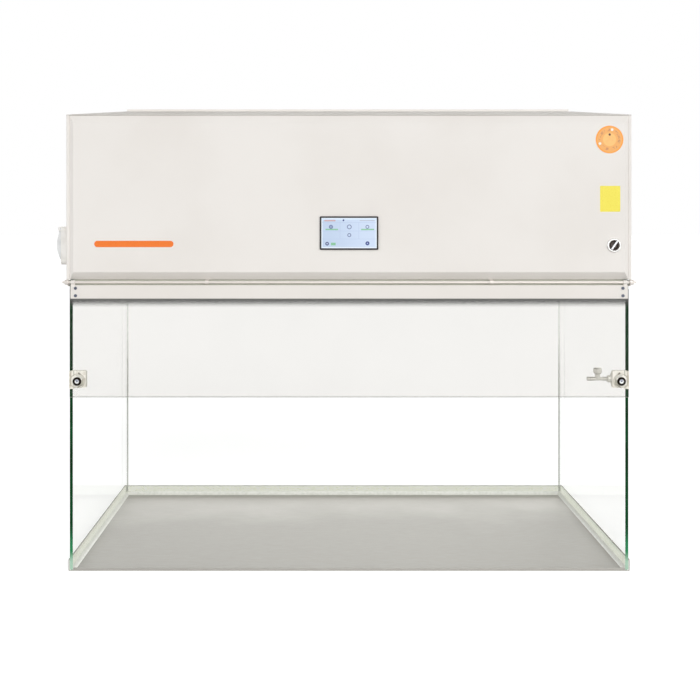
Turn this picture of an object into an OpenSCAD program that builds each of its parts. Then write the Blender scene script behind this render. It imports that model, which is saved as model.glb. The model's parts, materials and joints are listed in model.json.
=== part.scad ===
// Bench-top vertical laminar flow hood: a glass work chamber on a steel tray,
// under a sheet-metal housing with two blowers and a high-efficiency filter.
// Millimetres. +Z is up, the front looks along -Y, and the origin is on the
// tray's underside, at the middle of the chamber.

/* [Housing] */
// Width of the housing over its side walls
housing_w = 1068; // [960:2:1300]
// Height of the housing's walls
housing_h = 310; // [300:1:380]
// Height of the housing's underside above the bench
chamber_h = 547; // [500:1:700]
// How far the housing reaches behind the glass
back_reach = 5; // [4:0.5:12]
// Thickness of the painted sheet
sheet_t = 1.5; // [1:0.1:2]
// Width of the housing's top flange
top_flange_w = 15; // [12:1:25]
// Radius of the sheet's upright bends
bend_r = 3; // [2:0.5:6]

/* [Front panel] */
// How far the panel's bevelled border is set back behind its face
bevel_d = 10; // [6:0.5:14]
// Width of the bevel along the panel's top and bottom
bevel_w = 14.5; // [10:0.5:25]
// Width of the bevel along the panel's sides
bevel_side_w = 9.5; // [6:0.5:20]
// Width of the housing's edge beside the panel
panel_inset = 6; // [4:0.5:10]
// Depth of the fold behind the panel's border
panel_return = 18; // [12:1:20]

/* [Roof] */
// Width of the roof's sloping border
roof_run = 96; // [70:1:120]
// Height of the roof's raised field above the walls
roof_rise = 17; // [12:1:30]
// Border between the raised field's edge and the air intake
intake_border = 34; // [25:1:60]
// Height of the intake grille over the roof
grille_h = 4.5; // [4:0.5:10]
// Web between the ends of two grille slots
grille_web = 25; // [15:1:60]
// Width of one grille slot
grille_slot_w = 3.6; // [2:0.1:3.8]

/* [Glass] */
// Depth of the side panes
chamber_d = 600; // [580:5:720]
// Thickness of the glass
pane_t = 6; // [5:0.5:8]
// Distance from the housing's side to the outside of the pane
pane_inset = 9; // [8:0.5:12]
// How far the panes reach up inside the housing
pane_rise = 30; // [24:1:34]

/* [Work tray] */
// Thickness of the tray's steel
tray_t = 1.5; // [1:0.1:2]
// Height of the lips at the sides and back
tray_lip_h = 22; // [15:0.5:35]
// Height of the folded hem along the front
hem_h = 5.6; // [4:0.2:10]
// Thickness of the folded hem
hem_t = 3; // [2:0.2:5]
// Thickness of the sealant between the glass and the lips
seal_t = 1; // [0.5:0.1:2]

/* [Sash] */
// Radius of the hinge rod
rod_r = 2.5; // [2:0.1:3.5]
// Drop of the hinge rod below the housing
rod_drop = 4.3; // [4:0.1:8]
// Distance of the hinge rod in front of the side panes
rod_ahead = 7; // [6:0.5:10]
// Gap between the rod and the rail
rail_gap = 2.7; // [2:0.1:5]
// Height of the sash rail
rail_h = 25; // [20:0.5:35]
// Thickness of the sash rail from front to back
rail_t = 10; // [9.6:0.1:12]
// Height of the glass below the rail
sash_h = 185; // [150:1:260]
// Thickness of the sash glass
sash_t = 6; // [5:0.2:6.4]
// How deep the glass sits in the rail
rail_grip = 18; // [12:0.5:20]
// Distance from the outside of the panes to the end of the rail
rail_inset = 4; // [3.5:0.5:8]
// Length of the rail's end caps
cap_l = 19; // [16:0.5:30]
// Width of a middle clip
clip_w = 6; // [3:0.5:10]

/* [Corner clips] */
// Height of the clip's centre above the sash's lower edge
corner_clip_rise = 35; // [28:0.5:60]
// Height of a corner clip
corner_clip_h = 33; // [28:0.5:45]
// Width of a corner clip
corner_clip_w = 34; // [30:0.5:45]
// Thickness of the clip's plates
corner_clip_t = 2.8; // [2:0.1:3]
// Outer radius of the rubber bumper
bumper_r = 8; // [6:0.1:9]
// Thickness of the rubber bumper
bumper_t = 5; // [3:0.5:6]

/* [Display] */
// Width of the display's frame
display_w = 110; // [90:1:180]
// Height of the display's frame
display_h = 63; // [50:1:120]
// Width of the frame's border
display_border = 3; // [2:0.2:6]
// Height of the display's centre above the housing's underside
display_rise = 88; // [60:1:160]

/* [Turn switch] */
// Distance of the switch from the housing's side
switch_inset = 36; // [34:1:200]
// Height of the switch above the housing's underside
switch_rise = 65; // [50:1:120]
// Radius of the switch's rim
switch_r = 13; // [12.5:0.5:15]
// Radius of the switch's rotor
rotor_r = 10.2; // [8:0.1:10.4]
// Angle of the grip bar above the horizontal, switched off
switch_rest = 55; // [0:1:90]

/* [Socket] */
// Side of the socket's square base
socket_w = 72; // [66:1:80]
// Thickness of the socket's base
socket_t = 11; // [9:0.5:14]
// Distance of the socket's centre behind the panes' front edges
socket_back = 50; // [50:1:120]
// Height of the socket's centre above the housing's underside
socket_rise = 64; // [61:1:120]
// Radius of the socket's well
well_r = 19.5; // [18:0.1:22]
// Depth of the socket's well
well_d = 17; // [12:0.5:20]
// Bulge of the spring lid
lid_bulge = 8; // [6:0.5:14]

/* [Gas tap] */
// Height of the tap above the bench
tap_z = 349; // [120:1:360]
// Distance of the tap behind the panes' front edges
tap_back = 90; // [60:1:400]
// Length of the tap inside the chamber
tap_l = 51; // [48:1:80]
// Radius of the hose barb
barb_r = 3.4; // [3:0.1:5]
// Radius of the tap's knob
knob_r = 8.5; // [6:0.5:12]
// Height of the knob's centre above the barb
knob_rise = 16; // [15:0.5:30]
// Radius of the threaded shank through the glass
shank_r = 6; // [5:0.1:8]

/* [Filter] */
// Height of the filter's frame
filter_h = 69; // [60:1:90]
// Width of the filter's frame
filter_frame_w = 20; // [15:1:30]
// Thickness of the filter's gasket
gasket_t = 6; // [4:0.5:8]
// Distance between two pleats of the filter
pleat_pitch = 10; // [8:0.5:20]
// Width of one slot in the ceiling's diffuser
diffuser_slot_w = 3.8; // [2:0.1:3.9]
// Web between the ends of two slots in the diffuser
diffuser_web = 25; // [15:1:60]
// Depth of the bay between the front panel and the plenum
bay_d = 73; // [73:1:110]
// Distance from the housing's side to the plenum
plenum_inset = 32; // [32:1:60]

/* [Blowers] */
// Outer radius of the impeller
fan_r = 110; // [95:1:115]
// Radius of the impeller's eye
eye_r = 68; // [55:1:74]
// Height of the impeller's blades at their outer ends
blade_h = 42; // [30:1:50]
// Thickness of a blade
blade_t = 2; // [1.5:0.1:3]
// Number of blades
blade_n = 7; // [5:1:11]
// Radius of the motor
motor_r = 46; // [35:1:55]
// Height of the motor
motor_h = 22; // [18:1:26]
// Radius of the motor's shaft
shaft_r = 4; // [3:0.1:6]

/* [Lamps] */
// Radius of the ultraviolet tube
uv_r = 8; // [6:0.5:13]
// Distance from the side glass to the end of the tube
uv_gap = 94; // [80:1:250]
// Drop of the tube's centre below the housing
uv_drop = 24; // [20:1:30]
// Distance from the side glass to the end of the light bar
led_gap = 69; // [50:1:250]
// Height of the light bar
led_h = 16; // [10:0.5:20]

/* [Mains inlet] */
// Distance of the inlet's centre from the housing's side
inlet_inset = 104; // [60:1:300]
// Drop of the inlet's centre below the roof
inlet_drop = 62; // [45:1:74]

/* [Electronics] */
// Length of the power supply
supply_l = 160; // [120:1:200]
// Height of the power supply
supply_h = 95; // [60:1:120]
// Depth of the power supply
supply_d = 42; // [30:1:46]
// Distance of the power supply from the plenum's end
supply_inset = 192; // [160:1:230]
// Length of the lamp ballast
ballast_l = 210; // [150:1:240]
// Height of the lamp ballast
ballast_h = 36; // [24:1:60]
// Depth of the lamp ballast
ballast_d = 28; // [20:1:40]
// Distance of the lamp ballast from the plenum's end
ballast_inset = 122; // [60:1:150]
// Height of both above the housing's underside
bay_rise = 70; // [40:1:90]

/* [Clearances] */
// Radial clearance of a turning fit
run_fit = 0.06; // [0.02:0.01:0.1]
// Gap between parts that only lie beside each other
side_gap = 0.5; // [0.3:0.1:1]

/* [Hidden] */
$fn = 64;

// Reach of every cut past the face that it opens
cut = 1;
hw = housing_w / 2;
front_y = -chamber_d / 2;
back_y = chamber_d / 2;
house_back_y = back_y + back_reach;
roof_z = chamber_h + housing_h;

// Glass and tray
pane_x = hw - pane_inset;
pane_in_x = pane_x - pane_t;
pane_top = chamber_h + pane_rise;
tray_x = pane_x + seal_t + tray_t;
tray_back_y = back_y + seal_t + tray_t;

// Housing
wall_x = hw - sheet_t;
wall_y = house_back_y - sheet_t;
edge_y = front_y + bevel_d;
shell_y = edge_y - 1;
panel_x = hw - panel_inset;
bend_in_r = bend_r - sheet_t / 2;
panel_back_y = edge_y + panel_return;
deck_z = chamber_h + sheet_t;
deck_x = pane_in_x - side_gap;
deck_y0 = edge_y + 2;
deck_y1 = back_y - pane_t - side_gap;
deck_flange_h = 8;
notch_y = panel_back_y + 2;
notch_z = chamber_h - 0.5;
plenum_x = hw - plenum_inset;
plenum_y0 = front_y + bay_d;
plenum_y1 = deck_y1 - 8;

// Roof and intake
field_z = roof_z + roof_rise;
field_x = hw - roof_run;
field_y0 = edge_y + roof_run;
field_y1 = house_back_y - roof_run;
intake_x = field_x - intake_border;
intake_y0 = field_y0 + intake_border;
intake_y1 = field_y1 - intake_border;
prefilter_t = 24;
prefilter_w = 16;
prefilter_pitch = 20;
prefilter_z1 = field_z - sheet_t;
prefilter_z0 = prefilter_z1 - prefilter_t;
prefilter_lap = 8;
grille_cols = 6;
grille_rows = 18;

// Filter
filter_x = plenum_x - sheet_t - side_gap;
filter_y0 = plenum_y0 + sheet_t + side_gap;
filter_y1 = plenum_y1 - sheet_t - side_gap;
filter_z0 = deck_z + sheet_t + gasket_t;
filter_z1 = filter_z0 + filter_h;
diffuser_x = filter_x - filter_frame_w;
diffuser_y0 = filter_y0 + filter_frame_w;
diffuser_y1 = filter_y1 - filter_frame_w;
diffuser_lap = 15;
diffuser_cols = 4;
diffuser_rows = 30;

// Blowers, stacked from the filter up
fan_x = plenum_x / 2;
fan_y = (plenum_y0 + plenum_y1) / 2;
cage_z = filter_z1 + 15;
cage_t = 2;
cage_leg_r = 4;
cage_leg_at = fan_r + 18;
motor_z1 = cage_z + cage_t + motor_h;
wheel_z = motor_z1 + 3;
plate_t = 2;
shroud_rise = 16;
shroud_z = wheel_z + plate_t + blade_h;
eye_z = shroud_z + shroud_rise;
ring_lap = 5;
ring_gap = 1.5;
ring_t = 1.5;
ring_curve_r = 10;
ring_rim_w = 26;
blower_z = eye_z + ring_curve_r - ring_lap + 5;
hub_r = 14;
hub_h = 24;
blade_r = 82;

// Hinge of the sash
rod_y = front_y - rod_ahead;
rod_z = chamber_h - rod_drop;
stud_r = rod_r - 0.5;
clip_x = hw / 2;
clip_t = 1.4;
seal_y = edge_y + 2;
bracket_x = pane_x + 0.2;
bracket_t = 2.5;
bracket_ear_r = 5.5;
bracket_arm_h = 11;
bracket_post_w = 20;
bracket_back_y = notch_y + 1 + bracket_post_w;
nut_af = 8;
nut_t = 4;
washer_r = 5.4;
washer_t = 1;
stud_tip = 4.5;
knuckle_r = rod_r + 1.5;
rail_x = pane_x - rail_inset;
rail_z1 = rod_z - rod_r - rail_gap;
rail_z0 = rail_z1 - rail_h;
rail_y0 = rod_y - rail_t / 2;
rail_y1 = rod_y + rail_t / 2;
sash_y0 = rod_y - sash_t / 2;
sash_y1 = rod_y + sash_t / 2;
sash_z0 = rail_z0 - sash_h;
sash_z1 = rail_z0 + rail_grip;
sash_x = rail_x + 2;
cap_x = rail_x - cap_l;
rail_screw_x = rail_x - 9.5;
rail_screw_r = 1.5;
rail_head_r = 2.9;
rail_head_t = 1.4;
knuckle_w = 7;

// Corner clips
cclip_z = sash_z0 + corner_clip_rise;
cclip_x1 = sash_x + 1;
cclip_x0 = cclip_x1 - corner_clip_w;
barrel_r = 4.8;
bumper_x = cclip_x1 - 16.4;
bumper_z = cclip_z - 4;
bumper_hole_r = 3.7;
clip_screw_r = 2.2;
boss_r = 10;
boss_t = 1.5;
bumper_y = sash_y0 - corner_clip_t - boss_t;

// Front panel fittings
display_z = chamber_h + display_rise;
display_t = 2.6;
display_depth = 14;
board_t = 1.6;
relay_l = 30;
relay_h = 16;
relay_t = 7.4;
relay_inset = 8;
chip_side = 24;
chip_t = 3.4;
chip_inset = 10;
switch_x = hw - switch_inset;
switch_z = chamber_h + switch_rise;
switch_rim_t = 3;
switch_barrel_r = 11;
switch_barrel_l = 22;
switch_spindle_r = 3;
contact_side = 28;
contact_l = 32;
switch_dish = 3;
grip_t = 3;
grip_reach = 1.5;

// Lamps under the ceiling's front strip
led_x = pane_in_x - led_gap;
uv_x = pane_in_x - uv_gap;
led_y0 = notch_y;
led_w = 20;
led_wall = 2;
led_groove = 5;
uv_y = led_y0 + led_w + uv_r + 6;

// Socket on the left wall
socket_y = front_y + socket_back;
socket_z = chamber_h + socket_rise;
socket_r = 8;
socket_face_x = -hw - socket_t;
socket_pin_r = 1.5;
lug_r = 4.2;
lug_l = 7;
lug_at = 4;
hinge_x = socket_face_x - 1.9;
hinge_z = socket_z + socket_w / 2 - lug_r;
lid_w = socket_w - 8;
lid_t = 2;
lid_z0 = socket_z - socket_w / 2 + 8;
lid_z1 = hinge_z - 1;
lid_x0 = socket_face_x - 0.6;

// Gas tap
tap_y = front_y + tap_back;
tap_tip_x = pane_in_x - tap_l;
knob_inset = 30;
knob_x = pane_in_x - knob_inset;
tap_out = 20;
tap_hole_r = shank_r + 0.5;
tap_flange_t = 3;
tap_nut_t = 6;
bonnet_r = 5;
bonnet_gap = 7;
rib_pitch = 4.5;
rib_l = 3.2;
rib_back = 20;
spindle_r = 2;

// Mains inlet on the back wall
inlet_w = 50;
inlet_h = 62;
inlet_x = hw - inlet_inset;
inlet_z = roof_z - inlet_drop;
inlet_lip_t = 2.5;
inlet_body_d = 28;
inlet_border = 3.2;
inlet_recess_d = 15;
c14_pin_pitch = 7;
fuse_proud = 1.5;
c14_w = 25;
c14_h = 17;
c14_z = inlet_z - 14;
fuse_z = inlet_z + 13;
fuse_w = 25;
fuse_h = 15;

// A straight box between two corners
module box(x0, x1, y0, y1, z0, z1) {
    translate([x0, y0, z0]) cube([x1 - x0, y1 - y0, z1 - z0]);
}

// A rectangle with rounded corners, centred
module rounded(w, h, r) {
    square([w - 2 * r, h], center = true);
    square([w, h - 2 * r], center = true);
    for (sx = [-1, 1], sy = [-1, 1]) {
        translate([sx * (w / 2 - r), sy * (h / 2 - r)]) circle(r);
    }
}

// A column with rounded upright edges
module column(x, y0, y1, z0, z1, r) {
    translate([0, (y0 + y1) / 2, z0]) linear_extrude(z1 - z0) rounded(2 * x, y1 - y0, r);
}

// A round bar along X, along Y, and along Z
module bar_x(r, x0, x1, y, z) {
    translate([x0, y, z]) rotate([0, 90, 0]) cylinder(h = x1 - x0, r = r);
}

module bar_y(r, y0, y1, x, z) {
    translate([x, y1, z]) rotate([90, 0, 0]) cylinder(h = y1 - y0, r = r);
}

module bar_z(r, z0, z1, x, y) {
    translate([x, y, z0]) cylinder(h = z1 - z0, r = r);
}

// An outline drawn in Y and Z, carried along X
module along_x(x0, x1) {
    translate([x0, 0, 0]) rotate([90, 0, 90]) linear_extrude(x1 - x0) children();
}

// An outline drawn in X and Z, carried along Y
module along_y(y0, y1) {
    translate([0, y1, 0]) rotate([90, 0, 0]) linear_extrude(y1 - y0) children();
}

module both_sides() {
    children();
    mirror([1, 0, 0]) children();
}

// Rows of long slots with a web between their ends, cut down through z0 to z1
module slots(x0, x1, y0, y1, cols, rows, web, w, z0, z1) {
    step_x = (x1 - x0) / cols;
    step_y = (y1 - y0) / rows;
    l = step_x - web;
    for (i = [0 : cols - 1], j = [0 : rows - 1]) {
        translate([x0 + (i + 0.5) * step_x - l / 2, y0 + (j + 0.5) * step_y - w / 2, z0])
            cube([l, w, z1 - z0]);
    }
}

// A pleated sheet: its zigzag runs along X between z0 and z1, its folds along Y
module pleats(x0, x1, y0, y1, z0, z1, pitch, t) {
    n = 2 * floor((x1 - x0) / pitch);
    step = (x1 - x0) / n;
    low = [for (i = [0 : n]) [x0 + i * step, i % 2 == 0 ? z0 : z1 - t]];
    high = [for (i = [n : -1 : 0]) [x0 + i * step, i % 2 == 0 ? z0 + t : z1]];
    along_y(y0, y1) polygon(concat(low, high));
}

// ---- Work chamber ----

module work_tray() {
    floor_x = tray_x - tray_t;
    color("silver") {
        difference() {
            box(-tray_x, tray_x, front_y, tray_back_y, 0, tray_lip_h);
            box(-floor_x, floor_x, front_y - cut, tray_back_y - tray_t, tray_t, tray_lip_h + cut);
        }
        box(-deck_x, deck_x, front_y, front_y + hem_t, tray_t, hem_h);
    }
}

module tray_seal() {
    seal_top = tray_lip_h - 2;
    color("whitesmoke") {
        both_sides() box(pane_x, pane_x + seal_t, front_y, back_y + seal_t, tray_t, seal_top);
        box(-pane_x, pane_x, back_y, back_y + seal_t, tray_t, seal_top);
    }
}

// A side pane, its top corner cut back behind the front panel
module glass_side() {
    along_x(pane_in_x, pane_x) polygon([[front_y, tray_t], [front_y, notch_z], [notch_y, notch_z],
        [notch_y, pane_top], [back_y, pane_top], [back_y, tray_t]]);
}

module glass_side_left() {
    color("honeydew", 0.4) mirror([1, 0, 0]) glass_side();
}

module glass_side_right() {
    color("honeydew", 0.4) difference() {
        glass_side();
        bar_x(tap_hole_r, pane_in_x - cut, pane_x + cut, tap_y, tap_z);
    }
}

module glass_back() {
    color("honeydew", 0.4) box(-pane_in_x, pane_in_x, back_y - pane_t, back_y, tray_t, pane_top);
}

module pane_packers() {
    color("dimgray") {
        both_sides() box(pane_x, wall_x, bracket_back_y + 2, back_y, deck_z, pane_top);
        box(bend_in_r - wall_x, wall_x - bend_in_r, back_y, wall_y, deck_z, pane_top);
    }
}

// ---- Housing ----

// A tray that closes the chamber, with a flange that bears on the packers
module ceiling_deck() {
    t = sheet_t;
    rim_z = pane_top + t;
    flange_z = rim_z + deck_flange_h;
    color("ivory") {
        difference() {
            box(-deck_x, deck_x, deck_y0, deck_y1, deck_z, rim_z);
            box(-deck_x + t, deck_x - t, deck_y0 + t, deck_y1 - t, deck_z + t, rim_z + cut);
            box(-diffuser_x, diffuser_x, diffuser_y0, diffuser_y1, deck_z - cut, rim_z);
        }
        difference() {
            intersection() {
                box(-wall_x, wall_x, notch_y, wall_y, pane_top, flange_z);
                column(wall_x, edge_y, wall_y, pane_top, flange_z, bend_in_r);
            }
            box(-wall_x + t, wall_x - t, notch_y - cut, wall_y - t, rim_z, flange_z + cut);
            box(-deck_x + t, deck_x - t, notch_y - cut, deck_y1 - t, pane_top - cut, rim_z + cut);
        }
    }
}

module diffuser_plate() {
    color("white") difference() {
        box(-diffuser_x - diffuser_lap, diffuser_x + diffuser_lap, diffuser_y0 - diffuser_lap,
            diffuser_y1 + diffuser_lap, chamber_h, deck_z);
        slots(-diffuser_x, diffuser_x, diffuser_y0, diffuser_y1, diffuser_cols, diffuser_rows,
            diffuser_web, diffuser_slot_w, chamber_h - cut, deck_z + cut);
    }
}

module housing_shell() {
    color("ivory") difference() {
        column(hw, shell_y, house_back_y, chamber_h, roof_z, bend_r);
        column(wall_x, shell_y + sheet_t, wall_y, chamber_h - cut, roof_z - sheet_t, bend_in_r);
        box(-panel_x - side_gap, panel_x + side_gap, shell_y - cut, panel_back_y + side_gap,
            chamber_h - cut, roof_z + cut);
        box(-hw + top_flange_w, hw - top_flange_w, shell_y - cut, house_back_y - top_flange_w,
            roof_z - sheet_t - cut, roof_z + cut);
        bar_x(well_r + 2.5, -hw - cut, -wall_x + cut, socket_y, socket_z);
        box(-inlet_x - inlet_w / 2 + 3, -inlet_x + inlet_w / 2 - 3, wall_y - cut, house_back_y + cut,
            inlet_z - inlet_h / 2 + 3, inlet_z + inlet_h / 2 - 3);
    }
}

// A raised panel facing -Y: flat field, bevelled border, mitred corners
module pillow(x, y, z0, z1) {
    intersection() {
        translate([0, 0, z0]) linear_extrude(z1 - z0)
            polygon([[-x, y + bevel_d], [-x + bevel_side_w, y], [x - bevel_side_w, y], [x, y + bevel_d]]);
        along_x(-x, x)
            polygon([[y + bevel_d, z0], [y, z0 + bevel_w], [y, z1 - bevel_w], [y + bevel_d, z1]]);
    }
}

module front_panel() {
    t = sheet_t;
    color("ivory") difference() {
        union() {
            pillow(panel_x, front_y, chamber_h, roof_z);
            box(-panel_x, panel_x, edge_y, panel_back_y, chamber_h, roof_z);
        }
        pillow(panel_x - t, front_y + t, chamber_h + t, roof_z - t);
        box(-panel_x + t, panel_x - t, edge_y + t, panel_back_y + cut, chamber_h + t, roof_z - t);
        box(-display_w / 2 + 2, display_w / 2 - 2, front_y - cut, edge_y,
            display_z - display_h / 2 + 2, display_z + display_h / 2 - 2);
        bar_y(switch_barrel_r + 0.3, front_y - cut, edge_y, switch_x, switch_z);
    }
}

// A low hipped roof: vertical skirt, sloping border, flat field
module hip(x, y0, y1, z0, z1) {
    skirt_z = z0 + sheet_t;
    intersection() {
        along_y(y0, y1) polygon([[-x, z0], [-x, skirt_z], [-x + roof_run, z1],
            [x - roof_run, z1], [x, skirt_z], [x, z0]]);
        along_x(-x, x) polygon([[y0, z0], [y0, skirt_z], [y0 + roof_run, z1],
            [y1 - roof_run, z1], [y1, skirt_z], [y1, z0]]);
    }
}

module roof_lid() {
    t = sheet_t;
    color("ivory") difference() {
        intersection() {
            hip(hw, shell_y, house_back_y, roof_z, field_z);
            column(hw, shell_y, house_back_y, roof_z, field_z + cut, bend_r);
        }
        intersection() {
            hip(wall_x, shell_y + t, wall_y, roof_z - t, field_z - t);
            column(wall_x, shell_y + t, wall_y, roof_z - t, field_z, bend_in_r);
        }
        box(-intake_x, intake_x, intake_y0, intake_y1, roof_z, field_z + cut);
    }
}

module intake_grille() {
    gap = 2;
    t = sheet_t;
    color("gainsboro") difference() {
        box(-field_x + gap, field_x - gap, field_y0 + gap, field_y1 - gap, field_z, field_z + grille_h);
        box(-field_x + gap + t, field_x - gap - t, field_y0 + gap + t, field_y1 - gap - t,
            field_z - cut, field_z + grille_h - t);
        slots(-intake_x, intake_x, intake_y0, intake_y1, grille_cols, grille_rows,
            grille_web, grille_slot_w, field_z, field_z + grille_h + cut);
    }
}

module prefilter_frame() {
    x = intake_x + prefilter_lap;
    y0 = intake_y0 - prefilter_lap;
    y1 = intake_y1 + prefilter_lap;
    color("tan") difference() {
        box(-x, x, y0, y1, prefilter_z0, prefilter_z1);
        box(-x + prefilter_w, x - prefilter_w, y0 + prefilter_w, y1 - prefilter_w,
            prefilter_z0 - cut, prefilter_z1 + cut);
    }
}

module prefilter_media() {
    inset = prefilter_w - prefilter_lap;
    color("lightsteelblue") pleats(-intake_x + inset, intake_x - inset, intake_y0 + inset, intake_y1 - inset,
        prefilter_z0 + 2, prefilter_z1 - 2, prefilter_pitch, 3);
}

// Two Z-shaped rails hold the prefilter up against the roof
module prefilter_rails() {
    x = intake_x + prefilter_lap + 1;
    t = sheet_t;
    color("silver") both_sides() along_y(intake_y0, intake_y1) polygon([
        [x - 12, prefilter_z0 - t], [x + t, prefilter_z0 - t], [x + t, prefilter_z1 - t],
        [x + 14, prefilter_z1 - t], [x + 14, prefilter_z1], [x, prefilter_z1],
        [x, prefilter_z0], [x - 12, prefilter_z0]]);
}

// ---- Air path ----

module plenum_shell() {
    color("silver") difference() {
        box(-plenum_x, plenum_x, plenum_y0, plenum_y1, deck_z + sheet_t, blower_z);
        box(-plenum_x + sheet_t, plenum_x - sheet_t, plenum_y0 + sheet_t, plenum_y1 - sheet_t,
            deck_z, blower_z + cut);
    }
}

module filter_gasket() {
    color("dimgray") difference() {
        box(-filter_x, filter_x, filter_y0, filter_y1, deck_z + sheet_t, filter_z0);
        box(-diffuser_x, diffuser_x, diffuser_y0, diffuser_y1, deck_z, filter_z0 + cut);
    }
}

module filter_frame() {
    color("silver") difference() {
        box(-filter_x, filter_x, filter_y0, filter_y1, filter_z0, filter_z1);
        box(-diffuser_x, diffuser_x, diffuser_y0, diffuser_y1, filter_z0 - cut, filter_z1 + cut);
    }
}

module filter_media() {
    color("white") pleats(-diffuser_x, diffuser_x, diffuser_y0, diffuser_y1,
        filter_z0 + 3, filter_z1 - 3, pleat_pitch, 5);
}

module blower_plate() {
    z1 = blower_z + plate_t;
    color("silver") difference() {
        box(-plenum_x, plenum_x, plenum_y0, plenum_y1, blower_z, z1);
        for (sx = [-1, 1]) {
            bar_z(eye_r - ring_gap + ring_curve_r, blower_z - cut, z1 + cut, sx * fan_x, fan_y);
        }
    }
}

// A bell mouth: flat flange on the plate, quarter-round lip, straight throat
module inlet_ring() {
    throat_r = eye_r - ring_gap;
    top_z = blower_z + plate_t;
    curve_z = top_z + ring_t - ring_curve_r;
    throat_z = eye_z - ring_lap;
    rotate_extrude() {
        translate([throat_r + ring_curve_r - ring_t, top_z]) square([ring_rim_w, ring_t]);
        translate([throat_r - ring_t, throat_z]) square([ring_t, curve_z - throat_z]);
        intersection() {
            translate([throat_r + ring_curve_r - ring_t, curve_z]) difference() {
                circle(ring_curve_r);
                circle(ring_curve_r - ring_t);
            }
            translate([throat_r - ring_t, curve_z]) square(ring_curve_r);
        }
    }
}

module inlet_rings() {
    color("silver") for (sx = [-1, 1]) {
        translate([sx * fan_x, fan_y, 0]) inlet_ring();
    }
}

// Four studs hang a cross of flat bar under each impeller
module fan_cage() {
    arm = 24;
    reach = cage_leg_at + 8;
    for (turn = [0, 90]) {
        rotate([0, 0, turn + 45]) translate([-reach, -arm / 2, cage_z]) cube([2 * reach, arm, cage_t]);
    }
    for (turn = [45 : 90 : 315]) {
        rotate([0, 0, turn]) translate([cage_leg_at, 0, cage_z + cage_t])
            cylinder(h = blower_z - cage_z - cage_t, r = cage_leg_r);
    }
}

module fan_cages() {
    color("gray") for (sx = [-1, 1]) {
        translate([sx * fan_x, fan_y, 0]) fan_cage();
    }
}

// A flat motor with cooling grooves and its shaft
module motor() {
    z0 = cage_z + cage_t;
    difference() {
        translate([0, 0, z0]) cylinder(h = motor_h, r = motor_r);
        for (k = [1 : 4]) {
            translate([0, 0, z0 + k * motor_h / 5 - 0.75]) difference() {
                cylinder(h = 1.5, r = motor_r + cut);
                cylinder(h = 1.5, r = motor_r - 2);
            }
        }
    }
    translate([0, 0, motor_z1]) cylinder(h = wheel_z + hub_h - motor_z1 - 2, r = shaft_r);
}

module motor_left() {
    color("dimgray") translate([-fan_x, fan_y, 0]) motor();
}

module motor_right() {
    color("dimgray") translate([fan_x, fan_y, 0]) motor();
}

// Section of the space between back plate and shroud, where the blades stand
module wheel_section(grow) {
    polygon([[0, wheel_z], [fan_r - 1, wheel_z], [fan_r - 1, shroud_z + grow],
        [eye_r + 2, eye_z - 4 + grow], [eye_r - 6, eye_z - 10], [0, eye_z - 10]]);
}

// Blades curve backward from the eye to the rim
module blades() {
    intersection() {
        translate([0, 0, wheel_z]) linear_extrude(eye_z - wheel_z) for (k = [0 : blade_n - 1]) {
            rotate(k * 360 / blade_n) translate([0, -blade_r]) intersection() {
                difference() {
                    circle(blade_r + blade_t / 2);
                    circle(blade_r - blade_t / 2);
                }
                translate([0, blade_r]) difference() {
                    intersection() {
                        circle(fan_r - 1);
                        translate([0, -fan_r]) square([fan_r, 2 * fan_r]);
                    }
                    circle(eye_r - 12);
                }
            }
        }
        rotate_extrude() wheel_section(0.6);
    }
}

// Back plate, backward-curved blades, conical shroud and bored hub
module impeller() {
    color("lightsteelblue") difference() {
        union() {
            translate([0, 0, wheel_z]) cylinder(h = plate_t, r = fan_r);
            translate([0, 0, wheel_z]) cylinder(h = hub_h, r = hub_r);
            blades();
            rotate_extrude() polygon([[fan_r, shroud_z], [fan_r, shroud_z + plate_t],
                [eye_r + 4, eye_z - 2], [eye_r + plate_t, eye_z], [eye_r, eye_z], [eye_r, eye_z - 4]]);
        }
        translate([0, 0, wheel_z - cut]) cylinder(h = hub_h + 2 * cut, r = shaft_r + run_fit);
    }
}

module impeller_left() {
    translate([-fan_x, fan_y, 0]) impeller();
}

module impeller_right() {
    translate([fan_x, fan_y, 0]) mirror([1, 0, 0]) impeller();
}

// ---- Sash ----

module hinge_rod() {
    end_x = bracket_x;
    tip_x = bracket_x + bracket_t + washer_t + nut_t + stud_tip;
    color("whitesmoke") {
        bar_x(rod_r, -end_x, end_x, rod_y, rod_z);
        bar_x(stud_r, -tip_x, tip_x, rod_y, rod_z);
    }
}

// A cranked plate: an ear for the rod's end, an arm under the panel, a post inside
module rod_bracket() {
    arm_z1 = rod_z + bracket_ear_r - 2;
    arm_z0 = arm_z1 - bracket_arm_h;
    difference() {
        union() {
            bar_x(bracket_ear_r, bracket_x, bracket_x + bracket_t, rod_y, rod_z);
            box(bracket_x, bracket_x + bracket_t, rod_y, bracket_back_y, arm_z0, arm_z1);
            box(bracket_x, bracket_x + bracket_t, bracket_back_y - bracket_post_w, bracket_back_y,
                arm_z0, pane_top - 4);
        }
        bar_x(stud_r + run_fit, bracket_x - cut, bracket_x + bracket_t + cut, rod_y, rod_z);
    }
}

module rod_brackets() {
    color("whitesmoke") both_sides() rod_bracket();
}

// A rubber lip that closes the gap behind the rod
module draught_seal() {
    color("dimgray") box(-deck_x, deck_x, seal_y, seal_y + 3, rail_z1 - 6, chamber_h);
}

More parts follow.
